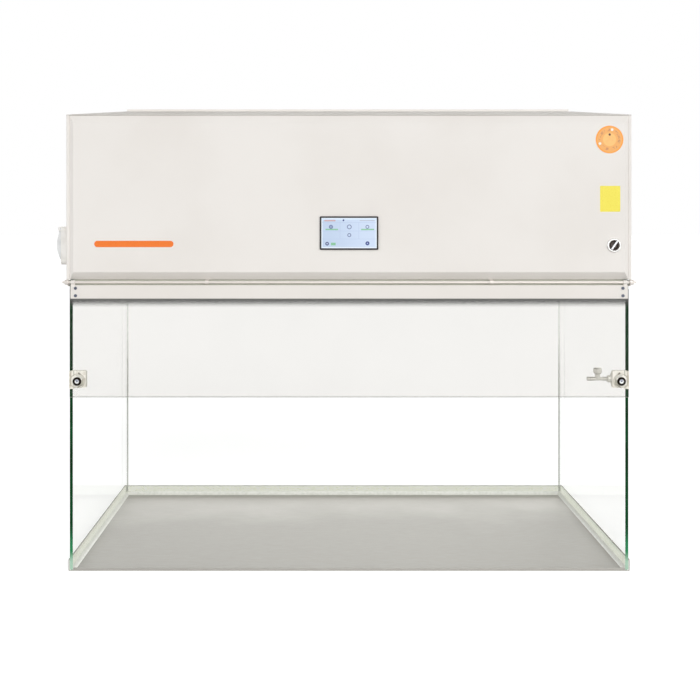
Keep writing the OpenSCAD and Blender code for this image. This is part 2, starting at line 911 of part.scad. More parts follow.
module rod_nuts() {
    x0 = bracket_x + bracket_t;
    color("silver") both_sides() difference() {
        union() {
            bar_x(washer_r, x0, x0 + washer_t, rod_y, rod_z);
            translate([x0 + washer_t, rod_y, rod_z]) rotate([0, 90, 0])
                cylinder(h = nut_t, r = nut_af / 2 / cos(30), $fn = 6);
        }
        bar_x(stud_r, x0 - cut, x0 + washer_t + nut_t + cut, rod_y, rod_z);
    }
}

// The rail's outline: a channel that grips the glass, with a drip lip below
module rail_outline() {
    c = 0.8;
    difference() {
        polygon([[rail_y0, rail_z0], [rail_y0, rail_z1 - c], [rail_y0 + c, rail_z1],
            [rail_y1 - c, rail_z1], [rail_y1, rail_z1 - c], [rail_y1, rail_z0]]);
        polygon([[sash_y0, rail_z0 - cut], [sash_y0, sash_z1], [sash_y1, sash_z1], [sash_y1, rail_z0 - cut]]);
    }
}

module sash_rail() {
    color("ivory") along_x(-cap_x, cap_x) rail_outline();
}

// End block: grips the glass, takes two screws and turns on the rod
module sash_cap() {
    difference() {
        union() {
            along_x(cap_x, rail_x) rail_outline();
            bar_x(knuckle_r, rail_x - knuckle_w, rail_x, rod_y, rod_z);
            box(rail_x - knuckle_w, rail_x, rod_y - 2, rod_y + 2, rail_z1 - 1, rod_z);
        }
        bar_x(rod_r + run_fit, rail_x - knuckle_w - cut, rail_x + cut, rod_y, rod_z);
        for (z = [rail_z0 + 5.5, rail_z1 - 5.5]) {
            bar_y(rail_screw_r, rail_y0 - cut, sash_y0, rail_screw_x, z);
        }
    }
}

module sash_cap_left() {
    color("ivory") mirror([1, 0, 0]) sash_cap();
}

module sash_cap_right() {
    color("ivory") sash_cap();
}

module rail_screws() {
    color("slategray") both_sides() for (z = [rail_z0 + 5.5, rail_z1 - 5.5]) {
        bar_y(rail_screw_r, rail_y0, sash_y0, rail_screw_x, z);
        bar_y(rail_head_r, rail_y0 - rail_head_t, rail_y0, rail_screw_x, z);
    }
}

// Hooks under the housing hold the rod between its ends
module rod_clips() {
    x0 = clip_x - clip_w / 2;
    x1 = clip_x + clip_w / 2;
    color("whitesmoke") both_sides() difference() {
        union() {
            bar_x(rod_r + clip_t, x0, x1, rod_y, rod_z);
            box(x0, x1, rod_y, seal_y, chamber_h - clip_t, chamber_h);
            box(x0, x1, rod_y, rod_y + rod_r + clip_t, rod_z, chamber_h);
        }
        bar_x(rod_r + run_fit, x0 - cut, x1 + cut, rod_y, rod_z);
    }
}

module sash_glass() {
    color("honeydew", 0.4) box(-sash_x, sash_x, sash_y0, sash_y1, sash_z0, sash_z1);
}

// A clip round the sash's edge: front plate with a boss, round bead, rear jaw
module corner_clip() {
    t = corner_clip_t;
    half = corner_clip_h / 2;
    bead_x = cclip_x1 - barrel_r;
    z0 = cclip_z - half;
    z1 = cclip_z + half;
    drop = 2;
    difference() {
        union() {
            translate([(cclip_x0 + bead_x) / 2, sash_y0, cclip_z]) rotate([90, 0, 0])
                linear_extrude(t) rounded(bead_x - cclip_x0, 2 * half, 4);
            bar_z(barrel_r, z0 - drop, z1 - drop, bead_x, sash_y0);
            box(sash_x, cclip_x1, sash_y0, sash_y1 + t, z0 - drop, z1 - drop);
            box(cclip_x0 + 8, cclip_x1, sash_y1, sash_y1 + t, z0 + drop, z1 - drop);
            translate([bumper_x, sash_y0 - t, bumper_z]) rotate([90, 0, 0])
                cylinder(h = boss_t, r = boss_r, $fn = 6);
        }
        box(cclip_x0, sash_x, sash_y0, sash_y1, z0 - drop - cut, z1 + cut);
        bar_y(1.4, sash_y0 - t - cut, sash_y0, bumper_x - 4.6, bumper_z + 13);
        bar_y(clip_screw_r, bumper_y - cut, sash_y0 + cut, bumper_x, bumper_z);
    }
}

module corner_clip_left() {
    color("ivory") mirror([1, 0, 0]) corner_clip();
}

module corner_clip_right() {
    color("ivory") corner_clip();
}

module clip_bumpers() {
    color("black") both_sides() translate([bumper_x, bumper_y, bumper_z]) rotate([90, 0, 0])
        rotate_extrude() polygon([[bumper_hole_r, 0], [bumper_r, 0], [bumper_r, bumper_t - 1],
            [bumper_r - 1, bumper_t], [bumper_hole_r, bumper_t]]);
}

module clip_screws() {
    color("silver") both_sides() {
        bar_y(clip_screw_r, bumper_y, sash_y0, bumper_x, bumper_z);
        bar_y(bumper_hole_r, bumper_y - bumper_t + 1.5, bumper_y, bumper_x, bumper_z);
    }
}

// ---- Display, switch and electronics ----

module display_frame() {
    color("gray") difference() {
        union() {
            translate([0, front_y, display_z]) rotate([90, 0, 0])
                linear_extrude(display_t) rounded(display_w, display_h, 2);
            box(-display_w / 2 + 2.5, display_w / 2 - 2.5, front_y, front_y + display_depth,
                display_z - display_h / 2 + 2.5, display_z + display_h / 2 - 2.5);
        }
        box(-display_w / 2 + display_border, display_w / 2 - display_border,
            front_y - display_t - cut, front_y + 1, display_z - display_h / 2 + display_border,
            display_z + display_h / 2 - display_border);
    }
}

module display_screen() {
    color("aliceblue") box(-display_w / 2 + display_border, display_w / 2 - display_border,
        front_y - display_t + 0.8, front_y + 1, display_z - display_h / 2 + display_border,
        display_z + display_h / 2 - display_border);
}

module control_board() {
    y0 = front_y + display_depth + 6;
    x = display_w / 2 + 10;
    z0 = display_z - display_h / 2 - 8;
    z1 = display_z + display_h / 2 + 8;
    color("darkgreen") {
        box(-x, x, y0, y0 + board_t, z0, z1);
        box(-x + relay_inset, -x + relay_inset + relay_l, y0 + board_t, y0 + board_t + relay_t,
            z0 + relay_inset, z0 + relay_inset + relay_h);
        box(x - chip_inset - chip_side, x - chip_inset, y0 + board_t, y0 + board_t + chip_t,
            z1 - chip_inset - chip_side, z1 - chip_inset);
        for (sx = [-1, 1], z = [z0 + 4, z1 - 4]) {
            bar_y(2.5, y0 + board_t, plenum_y0, sx * (x - 4), z);
        }
    }
}

module switch_rim() {
    color("silver") translate([switch_x, front_y, switch_z]) rotate([90, 0, 0]) difference() {
        union() {
            rotate_extrude() polygon([[0, -1], [switch_barrel_r, -1], [switch_barrel_r, 0], [switch_r, 0],
                [switch_r, switch_rim_t - 1], [switch_r - 1, switch_rim_t], [0, switch_rim_t]]);
            translate([0, 0, -switch_barrel_l]) cylinder(h = switch_barrel_l, r = switch_barrel_r);
        }
        translate([0, 0, -switch_dish]) cylinder(h = switch_rim_t + switch_dish + cut, r = rotor_r + run_fit);
        translate([0, 0, -switch_barrel_l - cut])
            cylinder(h = switch_barrel_l, r = switch_spindle_r + run_fit);
    }
}

// A dished rotor with a grip bar, on a spindle
module switch_rotor() {
    under = 0.3 - switch_dish;
    top = switch_rim_t - 1;
    bar_l = 2 * rotor_r - 2;
    color("silver") translate([switch_x, front_y, switch_z]) rotate([90, 0, 0]) {
        difference() {
            translate([0, 0, under]) cylinder(h = top - under, r = rotor_r);
            translate([0, 0, top - 2]) cylinder(h = 4, r1 = rotor_r - 4, r2 = rotor_r - 0.4);
        }
        rotate([0, 0, switch_rest]) translate([-bar_l / 2, -grip_t / 2, under])
            cube([bar_l, grip_t, switch_rim_t + grip_reach - under]);
        translate([0, 0, -switch_barrel_l - 2]) cylinder(h = switch_barrel_l, r = switch_spindle_r);
    }
}

module switch_block() {
    side = contact_side;
    y0 = front_y + switch_barrel_l;
    color("dimgray") difference() {
        box(switch_x - side / 2, switch_x + side / 2, y0, y0 + contact_l,
            switch_z - side / 2, switch_z + side / 2);
        bar_y(switch_spindle_r + 0.5, y0 - cut, y0 + 4, switch_x, switch_z);
    }
}

// Folded case with a row of cooling slots in its front
module power_supply() {
    x1 = plenum_x - supply_inset;
    x0 = x1 - supply_l;
    y0 = plenum_y0 - supply_d;
    z0 = chamber_h + bay_rise;
    vents = 10;
    margin = supply_h / 5;
    step = (supply_l - 2 * margin) / vents;
    color("silver") difference() {
        box(x0, x1, y0, plenum_y0, z0, z0 + supply_h);
        for (k = [0 : vents - 1]) {
            x = x0 + margin + (k + 0.3) * step;
            box(x, x + 0.4 * step, y0 - cut, y0 + sheet_t, z0 + margin, z0 + supply_h - margin);
        }
    }
}

// A closed case with a fixing tab at each end
module lamp_ballast() {
    x0 = ballast_inset - plenum_x;
    x1 = x0 + ballast_l;
    z0 = chamber_h + bay_rise;
    tab = ballast_h / 3;
    color("whitesmoke") {
        box(x0, x1, plenum_y0 - ballast_d, plenum_y0, z0, z0 + ballast_h);
        for (x = [x0 - tab, x1]) {
            box(x, x + tab, plenum_y0 - sheet_t, plenum_y0, z0 + tab / 2, z0 + ballast_h - tab / 2);
        }
    }
}

// ---- Lamps ----

module uv_tube() {
    z = chamber_h - uv_drop;
    cap = 14;
    color("aliceblue") {
        bar_x(uv_r, cap - uv_x, uv_x - cap, uv_y, z);
        both_sides() {
            bar_x(uv_r + 0.4, uv_x - cap, uv_x, uv_y, z);
            for (dy = [-2.2, 2.2]) {
                bar_x(0.9, uv_x, uv_x + 6, uv_y + dy, z);
            }
        }
    }
}

// Lamp holders hang from the ceiling and grip the tube's pins
module uv_holders() {
    z = chamber_h - uv_drop;
    r = uv_r + 3;
    x1 = uv_x + 14;
    color("white") both_sides() difference() {
        union() {
            bar_x(r, uv_x, x1, uv_y, z);
            box(uv_x, x1, uv_y - r, uv_y + r, z, deck_z);
        }
        box(uv_x - cut, uv_x + 7, uv_y - 3.6, uv_y + 3.6, z - 1.6, z + 1.6);
    }
}

module led_bar() {
    z0 = deck_z - led_h;
    color("lightgray") difference() {
        box(-led_x, led_x, led_y0, led_y0 + led_w, z0, deck_z);
        box(-led_x - cut, led_x + cut, led_y0 + led_wall, led_y0 + led_w - led_wall,
            z0 - cut, z0 + led_groove);
    }
}

module led_cover() {
    z0 = deck_z - led_h;
    color("white") box(-led_x, led_x, led_y0 + led_wall, led_y0 + led_w - led_wall, z0 - 1, z0 + led_groove);
}

// ---- Socket with a spring lid ----

module socket_base() {
    reach = socket_w / 2 - lug_at;
    color("ivory") difference() {
        union() {
            translate([-hw, socket_y, socket_z]) rotate([90, 0, 90]) mirror([0, 0, 1])
                linear_extrude(socket_t) rounded(socket_w, socket_w, socket_r);
            for (y0 = [socket_y - reach, socket_y + reach - lug_l]) {
                bar_y(lug_r, y0, y0 + lug_l, hinge_x, hinge_z);
                box(hinge_x, -hw - 1, y0, y0 + lug_l, hinge_z - lug_r, hinge_z + lug_r);
            }
        }
        bar_x(well_r + 1.5, socket_face_x - cut, -hw + cut, socket_y, socket_z);
        box(socket_face_x - cut, socket_face_x + lug_r - 1.2, socket_y - reach + lug_l,
            socket_y + reach - lug_l, hinge_z - lug_r - 1, hinge_z + lug_r + cut);
        bar_y(socket_pin_r, socket_y - socket_w, socket_y + socket_w, hinge_x, hinge_z);
    }
}

// The well takes a round earthed plug: two holes for its pins, two side contacts
module socket_insert() {
    x0 = -hw - socket_t + 1;
    x1 = x0 + well_d + 10;
    color("whitesmoke") difference() {
        bar_x(well_r + 1.4, x0, x1, socket_y, socket_z);
        bar_x(well_r, x0 - cut, x0 + well_d, socket_y, socket_z);
        for (s = [-1, 1]) {
            bar_x(2.6, x0 + well_d - cut, x1 - 2, socket_y + s * 9.5, socket_z);
        }
    }
}

// A bulged lid, hollow inside, with its knuckle on the pin
module socket_lid() {
    chord = lid_z1 - lid_z0;
    curve_r = (chord * chord / 4 + lid_bulge * lid_bulge) / (2 * lid_bulge);
    curve_x = lid_x0 - lid_bulge + curve_r;
    mid_z = (lid_z0 + lid_z1) / 2;
    y0 = socket_y - lid_w / 2;
    y1 = socket_y + lid_w / 2;
    knuckle_l = socket_w - 2 * lug_at - 2 * lug_l - 1;
    k0 = socket_y - knuckle_l / 2;
    k1 = socket_y + knuckle_l / 2;
    color("ivory") difference() {
        union() {
            intersection() {
                bar_y(curve_r, y0, y1, curve_x, mid_z);
                box(lid_x0 - lid_bulge - cut, lid_x0, y0 - cut, y1 + cut, lid_z0, lid_z1 - lug_r - 0.6);
            }
            bar_y(lug_r, k0, k1, hinge_x, hinge_z);
            box(hinge_x - lug_r, hinge_x - 0.4, k0, k1, hinge_z - lug_r - 4, hinge_z);
        }
        intersection() {
            bar_y(curve_r - lid_t, y0 + lid_t, y1 - lid_t, curve_x, mid_z);
            box(lid_x0 - lid_bulge, lid_x0 + cut, y0, y1, lid_z0 + lid_t, lid_z1 - lug_r - 5);
        }
        bar_y(socket_pin_r + run_fit, y0 - lug_l, y1 + lug_l, hinge_x, hinge_z);
    }
}

module socket_pin() {
    reach = socket_w / 2 - lug_at;
    color("silver") bar_y(socket_pin_r, socket_y - reach, socket_y + reach, hinge_x, hinge_z);
}

// ---- Gas tap ----

// The tap, turned about its own axis: ribbed barb, bonnet, flange, shank, inlet
module tap_body() {
    rib = barb_r + 0.8;
    tail = tap_l + pane_t;
    color("gainsboro") difference() {
        union() {
            translate([tap_tip_x, tap_y, tap_z]) rotate([0, 90, 0]) rotate_extrude() {
                square([barb_r, tail + tap_out]);
                for (z = [0, rib_pitch, 2 * rib_pitch, tap_l - rib_back, tap_l - rib_back + rib_pitch]) {
                    polygon([[0, z], [barb_r, z], [rib, z + rib_l * 0.8], [rib, z + rib_l], [0, z + rib_l]]);
                }
                translate([0, tap_l - 11]) square([shank_r + 1, 8]);
                translate([0, tap_l - tap_flange_t]) square([shank_r * 2, tap_flange_t]);
                translate([0, tap_l - 1]) square([shank_r, pane_t + tap_nut_t + 3]);
            }
            bar_z(bonnet_r, tap_z, tap_z + knob_rise - bonnet_gap, knob_x, tap_y);
        }
        bar_z(spindle_r + run_fit, tap_z + 2, tap_z + knob_rise, knob_x, tap_y);
        bar_x(barb_r / 2, tap_tip_x - cut, tap_tip_x + 12, tap_y, tap_z);
    }
}

module tap_nut() {
    color("gainsboro") difference() {
        translate([pane_x, tap_y, tap_z]) rotate([0, 90, 0])
            cylinder(h = tap_nut_t, r = shank_r * 1.8, $fn = 6);
        bar_x(shank_r, pane_x - cut, pane_x + tap_nut_t + cut, tap_y, tap_z);
    }
}

module tap_knob() {
    h = 12;
    color("gainsboro") translate([knob_x, tap_y, tap_z + knob_rise]) difference() {
        union() {
            rotate_extrude() polygon([[0, -h / 2], [knob_r - 2, -h / 2], [knob_r, -h / 2 + 3],
                [knob_r, h / 2 - 3], [knob_r - 2.5, h / 2], [0, h / 2]]);
            translate([0, 0, 3 - knob_rise]) cylinder(h = knob_rise, r = spindle_r);
        }
        for (a = [0 : 45 : 315]) {
            rotate([0, 0, a]) translate([knob_r + 1.2, 0, -h]) cylinder(h = 2 * h, r = 2);
        }
    }
}

// ---- Mains inlet ----

// A fused inlet: a recess with three pins under a fuse drawer
module mains_inlet() {
    x = -inlet_x;
    y1 = house_back_y + inlet_lip_t;
    body_x = inlet_w / 2 - inlet_border;
    body_z = inlet_h / 2 - inlet_border;
    recess_y = house_back_y - inlet_recess_d;
    color("black") {
        difference() {
            union() {
                box(x - inlet_w / 2, x + inlet_w / 2, house_back_y, y1,
                    inlet_z - inlet_h / 2, inlet_z + inlet_h / 2);
                box(x - body_x, x + body_x, house_back_y - inlet_body_d, house_back_y,
                    inlet_z - body_z, inlet_z + body_z);
            }
            box(x - c14_w / 2, x + c14_w / 2, recess_y, y1 + cut, c14_z - c14_h / 2, c14_z + c14_h / 2);
        }
        for (dx = [-c14_pin_pitch, 0, c14_pin_pitch]) {
            box(x + dx - 1, x + dx + 1, recess_y - cut, house_back_y, c14_z - 2, c14_z + 2);
        }
        box(x - fuse_w / 2, x + fuse_w / 2, y1 - cut, y1 + fuse_proud,
            fuse_z - fuse_h / 2, fuse_z + fuse_h / 2);
    }
}

work_tray();
tray_seal();
glass_side_left();
glass_side_right();
glass_back();
pane_packers();
ceiling_deck();
diffuser_plate();
housing_shell();
front_panel();
roof_lid();
intake_grille();
prefilter_frame();
prefilter_media();
prefilter_rails();
plenum_shell();
filter_gasket();
filter_frame();
filter_media();
blower_plate();
inlet_rings();
fan_cages();
motor_left();
motor_right();
impeller_left();
impeller_right();
hinge_rod();
rod_brackets();
rod_nuts();
draught_seal();
sash_rail();
sash_cap_left();
sash_cap_right();
rail_screws();
rod_clips();
sash_glass();
corner_clip_left();
corner_clip_right();
clip_bumpers();
clip_screws();
display_frame();
display_screen();
control_board();
switch_rim();
switch_rotor();
switch_block();
power_supply();
lamp_ballast();
uv_tube();
uv_holders();
led_bar();
led_cover();
socket_base();
socket_insert();
socket_lid();
socket_pin();
tap_body();
tap_knob();
tap_nut();
mains_inlet();
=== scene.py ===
import json
import math

import bmesh
import bpy
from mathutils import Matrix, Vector


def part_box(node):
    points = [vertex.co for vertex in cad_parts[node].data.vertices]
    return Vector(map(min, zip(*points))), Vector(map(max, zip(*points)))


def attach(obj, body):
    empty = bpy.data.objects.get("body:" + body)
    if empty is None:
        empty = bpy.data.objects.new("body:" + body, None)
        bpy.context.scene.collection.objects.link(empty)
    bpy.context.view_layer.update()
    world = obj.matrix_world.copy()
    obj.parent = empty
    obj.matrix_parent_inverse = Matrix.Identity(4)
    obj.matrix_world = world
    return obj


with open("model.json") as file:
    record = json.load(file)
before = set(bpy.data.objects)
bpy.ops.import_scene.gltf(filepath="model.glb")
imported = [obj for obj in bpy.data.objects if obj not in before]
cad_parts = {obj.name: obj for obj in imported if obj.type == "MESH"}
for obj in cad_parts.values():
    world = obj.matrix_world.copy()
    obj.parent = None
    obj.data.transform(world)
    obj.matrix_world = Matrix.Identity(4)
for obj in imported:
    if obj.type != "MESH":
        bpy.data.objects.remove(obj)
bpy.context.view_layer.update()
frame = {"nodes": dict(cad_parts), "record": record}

# Surfaces are measured in metres, as the frame is. Prints, clips and pieces made here are in millimetres.
MM = 0.001


def reach(node):
    """The low and high corners of a CAD node, in millimetres."""
    return [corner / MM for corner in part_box(node)]


# ---- Shader maths ----

def srgb(red, green, blue):
    """A colour written as 0 to 255, made linear, with full alpha."""
    shares = [level / 255 for level in (red, green, blue)]
    linear = [share / 12.92 if share <= 0.04045 else ((share + 0.055) / 1.055) ** 2.4 for share in shares]
    return (*linear, 1.0)


class Field:
    """A value that varies over a surface. Arithmetic written on it adds Math nodes."""

    def __init__(self, finish, plug):
        self.finish = finish
        self.plug = plug

    def math(self, operation, *terms):
        return self.finish.node("ShaderNodeMath", {"operation": operation}, dict(enumerate(terms)))

    def __add__(self, other):
        return self.math("ADD", self, other)

    def __sub__(self, other):
        return self.math("SUBTRACT", self, other)

    def __rsub__(self, other):
        return self.math("SUBTRACT", other, self)

    def __mul__(self, other):
        return self.math("MULTIPLY", self, other)

    def __lt__(self, other):
        return self.math("LESS_THAN", self, other)

    def __gt__(self, other):
        return self.math("GREATER_THAN", self, other)

    def __abs__(self):
        return self.math("ABSOLUTE", self)

    def either(self, other):
        """The greater of two fields: the union of two masks."""
        return self.math("MAXIMUM", self, other)

    __radd__ = __add__
    __rmul__ = __mul__


class Finish:
    """A material, or the world, being made from the fields that vary over it."""

    def __init__(self, name, owner=None, place="Object"):
        self.owner = owner or bpy.data.materials.new(name)
        self.owner.use_nodes = True
        self.tree = self.owner.node_tree
        self.tree.nodes.clear()
        self.place = self.node("ShaderNodeTexCoord", out=place)

    def node(self, kind, settings=None, sockets=None, out=0):
        """Adds one node: its settings first, then values or links on its sockets."""
        made = self.tree.nodes.new(kind)
        for key, value in (settings or {}).items():
            setattr(made, key, value)
        for key, value in (sockets or {}).items():
            if isinstance(value, Field):
                self.tree.links.new(value.plug, made.inputs[key])
            else:
                made.inputs[key].default_value = value
        return Field(self, made.outputs[out])

    def axes(self, source=None):
        """The three parts of a vector, or of the place on the surface, in metres."""
        split = self.node("ShaderNodeSeparateXYZ", None, {0: source or self.place})
        return [Field(self, plug) for plug in split.plug.node.outputs]

    def stretched(self, x, y, z):
        """The place, scaled along each axis: a small factor draws a pattern out."""
        settings = {"operation": "MULTIPLY"}
        return self.node("ShaderNodeVectorMath", settings, {0: self.place, 1: (x, y, z)})

    def noise(self, grain, place=None, detail=2.0):
        """Soft noise from 0 to 1 with spots of about that many metres."""
        sockets = {"Vector": place or self.place, "Scale": 1 / grain, "Detail": detail}
        return self.node("ShaderNodeTexNoise", None, sockets)

    def cells(self, grain, feature="F1", out="Distance"):
        """Random cells of about that many metres."""
        sockets = {"Vector": self.place, "Scale": 1 / grain}
        return self.node("ShaderNodeTexVoronoi", {"feature": feature}, sockets, out)

    def rise(self, value, low, high, start=0.0, end=1.0):
        """Goes smoothly from start to end as value goes from low to high."""
        settings = {"interpolation_type": "SMOOTHSTEP"}
        sockets = {"Value": value, "From Min": low, "From Max": high, "To Min": start, "To Max": end}
        return self.node("ShaderNodeMapRange", settings, sockets)

    def mix(self, first, second, mask):
        """One colour that turns into another where mask is 1."""
        settings = {"data_type": "RGBA"}
        return self.node("ShaderNodeMix", settings, {0: mask, 6: first, 7: second}, 2)

    def blend(self, share, first, second):
        """One shader laid over another where share is 1."""
        return self.node("ShaderNodeMixShader", None, {0: share, 1: first, 2: second})

    def distance(self, one, other):
        """The length of a vector with those two parts."""
        return self.node("ShaderNodeMath", {"operation": "SQRT"}, {0: one * one + other * other})

    def bump(self, height, depth):
        return self.node("ShaderNodeBump", None, {"Height": height, "Distance": depth, "Strength": 1.0})

    def principled(self, **sockets):
        """The main shader. An underscore in a keyword is a space in the socket's name."""
        named = {key.replace("_", " "): value for key, value in sockets.items()}
        return self.node("ShaderNodeBsdfPrincipled", None, named)

    def done(self, shader, output="ShaderNodeOutputMaterial"):
        self.tree.links.new(shader.plug, self.tree.nodes.new(output).inputs["Surface"])
        return self.owner


# ---- Finishes ----

def powder_coat(name, colour, shade, rough=0.4, shine=0.35):
    """Sprayed and baked paint: orange peel, faint clouds, a few specks of dust."""
    paint = Finish(name)
    clouds = paint.noise(0.22, detail=3.0)
    specks = paint.rise(paint.cells(0.011), 0.035, 0.02)
    tone = paint.mix(colour, shade, paint.rise(clouds, 0.35, 0.75, 0.0, 0.7))
    tone = paint.mix(tone, shade, specks * 0.6)
    peel = paint.noise(0.0012, detail=1.0)
    return paint.done(paint.principled(
        Base_Color=tone, Roughness=rough + 0.1 * paint.noise(0.03), Specular_IOR_Level=shine,
        Normal=paint.bump(peel, 0.00002)))


def rolling_lines(metal):
    """Fine lines along x, as rolling and drawing leave them."""
    return metal.noise(0.02, metal.stretched(1.0, 60.0, 60.0), detail=4.0)


def brushed(name, colour, dark, rough, metal=1.0):
    """Drawn or rolled metal: fine lines one way, and cloudy handling marks."""
    steel = Finish(name)
    lines = rolling_lines(steel)
    marks = steel.noise(0.14, detail=3.0)
    tone = steel.mix(colour, dark, steel.rise(lines, 0.3, 0.8, 0.0, 0.8))
    tone = steel.mix(tone, dark, steel.rise(marks, 0.45, 0.8, 0.0, 0.35))
    return steel.done(steel.principled(
        Base_Color=tone, Metallic=metal, Roughness=rough + 0.14 * lines,
        Normal=steel.bump(lines, 0.000012)))


HEM_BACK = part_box("work_tray")[0].y + 0.0015


def tray_steel():
    """Rolled stainless sheet, with painted shade: darker over its front half, a little more towards the
    right, and less on the hem.
    """
    steel = Finish("tray_steel")
    x, y, _ = steel.axes()
    lines = rolling_lines(steel)
    marks = steel.noise(0.2, detail=3.0)
    fresh = steel.mix(srgb(182, 180, 175), srgb(166, 163, 156), steel.rise(lines, 0.3, 0.8))
    shaded_tone = steel.mix(srgb(150, 148, 142), srgb(138, 135, 128), steel.rise(lines, 0.3, 0.8))
    # Painted shade: the front half is darkened, with a wavy boundary, and the right side a little more.
    front_painted_shade = steel.rise(y + 0.3 * marks, 0.42, 0.14)
    behind_hem = (y > HEM_BACK) * 0.45 + 0.55
    right_side_share = steel.rise(x, 0.1, 0.42, 0.84, 1.0)
    tray_painted_shade = front_painted_shade * behind_hem * right_side_share
    return steel.done(steel.principled(
        Base_Color=steel.mix(fresh, shaded_tone, tray_painted_shade), Metallic=0.75, Roughness=0.4 + 0.14 * lines,
        Normal=steel.bump(lines, 0.000012)))


def plated(name, colour, dark, rough):
    """Turned and plated metal with tool lines and small stains."""
    metal = Finish(name)
    stains = metal.noise(0.004, detail=3.0)
    tone = metal.mix(colour, dark, metal.rise(stains, 0.4, 0.8, 0.0, 0.6))
    lines = metal.noise(0.0006, detail=2.0)
    return metal.done(metal.principled(
        Base_Color=tone, Metallic=1.0, Roughness=rough + 0.16 * stains,
        Normal=metal.bump(lines, 0.000008)))


GRIP_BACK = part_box("front_panel")[0].y - 0.0034


def rotor_metal():
    """Blackened dish with a bare, polished grip bar standing in front of it."""
    metal = Finish("rotor_metal")
    y = metal.axes()[1]
    stains = metal.noise(0.003, detail=3.0)
    black = metal.mix(srgb(84, 76, 72), srgb(54, 48, 46), stains)
    bare = metal.mix(srgb(226, 226, 230), srgb(196, 196, 202), stains)
    return metal.done(metal.principled(
        Base_Color=metal.mix(black, bare, y < GRIP_BACK), Metallic=0.85, Roughness=0.3 + 0.16 * stains,
        Normal=metal.bump(metal.noise(0.0006), 0.000008)))


COLLAR_R = 13.4
BUMPER_R = 8.0
bumper_low, bumper_high = reach("clip_bumpers")
BUMPER_X = bumper_high.x - BUMPER_R
BUMPER_Z = (bumper_low.z + bumper_high.z) / 2


def from_bumper(finish):
    """Millimetres outward and up from the nearer bumper's axis, and the distance from it."""
    x, _, z = finish.axes()
    across = abs(x) * (1 / MM) - BUMPER_X
    up = z * (1 / MM) - BUMPER_Z
    return across, up, finish.distance(across, up)


def clip_enamel():
    """Ivory enamel on cast metal, with painted shade: a brown band down the barrel, a grey line at the step,
    grey round the plate's rim, a dark hole and a grey ring round the collar.
    """
    enamel = Finish("clip_enamel")
    across, up, far = from_bumper(enamel)
    uneven = enamel.noise(0.006, detail=3.0)
    tone = enamel.mix(srgb(248, 244, 234), srgb(226, 221, 208), enamel.rise(uneven, 0.4, 0.7))
    # Painted shade: a brown band down the middle of the barrel.
    length = enamel.rise(abs(up - 4.0), 15.0, 11.0)
    barrel_shade_band = enamel.rise(abs(across - 12.4), 2.0, 0.6) * length
    tone = enamel.mix(tone, srgb(168, 156, 136), barrel_shade_band * (0.4 + 0.7 * uneven))
    # Painted shade: a grey line at the step between the plate and the barrel.
    step_shade_line = enamel.rise(abs(across - 6.9), 1.0, 0.3) * (up > 4.0)
    tone = enamel.mix(tone, srgb(150, 152, 140), step_shade_line * 0.8)
    # Painted shade: grey round the plate's rim.
    rim = enamel.rise(across, -14.6, -16.4) + enamel.rise(up, 18.9, 20.2) * (across < 6.0)
    tone = enamel.mix(tone, srgb(176, 172, 160), rim * 0.8)
    # Painted shade: a dark spot where the small hole is.
    hole_shade_spot = enamel.rise(enamel.distance(across + 2.6, up - 14.6), 2.0, 0.9)
    tone = enamel.mix(tone, srgb(110, 106, 94), hole_shade_spot)
    # Painted shade: a grey ring where the collar meets the plate.
    tone = enamel.mix(tone, srgb(182, 177, 162), enamel.rise(abs(far - COLLAR_R), 1.6, 0.3) * 0.75)
    return enamel.done(enamel.principled(
        Base_Color=tone, Roughness=0.24 + 0.16 * uneven, Normal=enamel.bump(uneven, 0.0001)))


def collar_enamel():
    """The same enamel on the collar's facets, with painted shade on the two that face down and in, and greyed
    near its top corner.
    """
    enamel = Finish("collar_enamel")
    across, up, _ = from_bumper(enamel)
    uneven = enamel.noise(0.004, detail=2.0)
    tone = enamel.mix(srgb(250, 247, 239), srgb(232, 228, 217), enamel.rise(uneven, 0.4, 0.7))
    # Painted shade on the facets that face down and in.
    inner = enamel.rise(across + 0.6 * up, -6.0, -8.0) * (up < 5.0)
    tone = enamel.mix(tone, srgb(186, 182, 168), inner)
    # Painted shade near the collar's top corner.
    crown = enamel.rise(up - 0.5 * across, 8.2, 9.6)
    tone = enamel.mix(tone, srgb(190, 188, 178), crown * 0.6)
    return enamel.done(enamel.principled(
        Base_Color=tone, Roughness=0.24 + 0.16 * uneven, Normal=enamel.bump(uneven, 0.00005)))


def bumper_rubber():
    """Black ring with a pale steel sleeve in its middle."""
    ring = Finish("bumper_rubber")
    far = from_bumper(ring)[2]
    pores = ring.noise(0.0009, detail=2.0)
    black = ring.mix(srgb(12, 7, 3), srgb(28, 19, 12), pores)
    sleeve = ring.mix(srgb(206, 206, 204), srgb(160, 160, 160), pores)
    inside = far < 4.2
    return ring.done(ring.principled(
        Base_Color=ring.mix(black, sleeve, inside), Metallic=inside * 0.6, Roughness=0.6 + 0.2 * pores,
        Specular_IOR_Level=0.12, Normal=ring.bump(pores, 0.00004)))


def socket_screw():
    """Bright screw with painted shade: darker towards its top, and dark in its hexagon socket."""
    screw = Finish("socket_screw")
    _, up, far = from_bumper(screw)
    stains = screw.noise(0.003, detail=2.0)
    # Stains, plus painted shade that grows towards the top of the head.
    tone = screw.mix(srgb(236, 238, 238), srgb(150, 153, 172), screw.rise(stains + 0.06 * up, 0.4, 0.65))
    # Painted shade in the hexagon socket.
    tone = screw.mix(tone, srgb(112, 116, 132), screw.rise(far, 1.9, 1.3))
    return screw.done(screw.principled(
        Base_Color=tone, Metallic=0.9, Roughness=0.25 + 0.2 * stains, Normal=screw.bump(stains, 0.00002)))


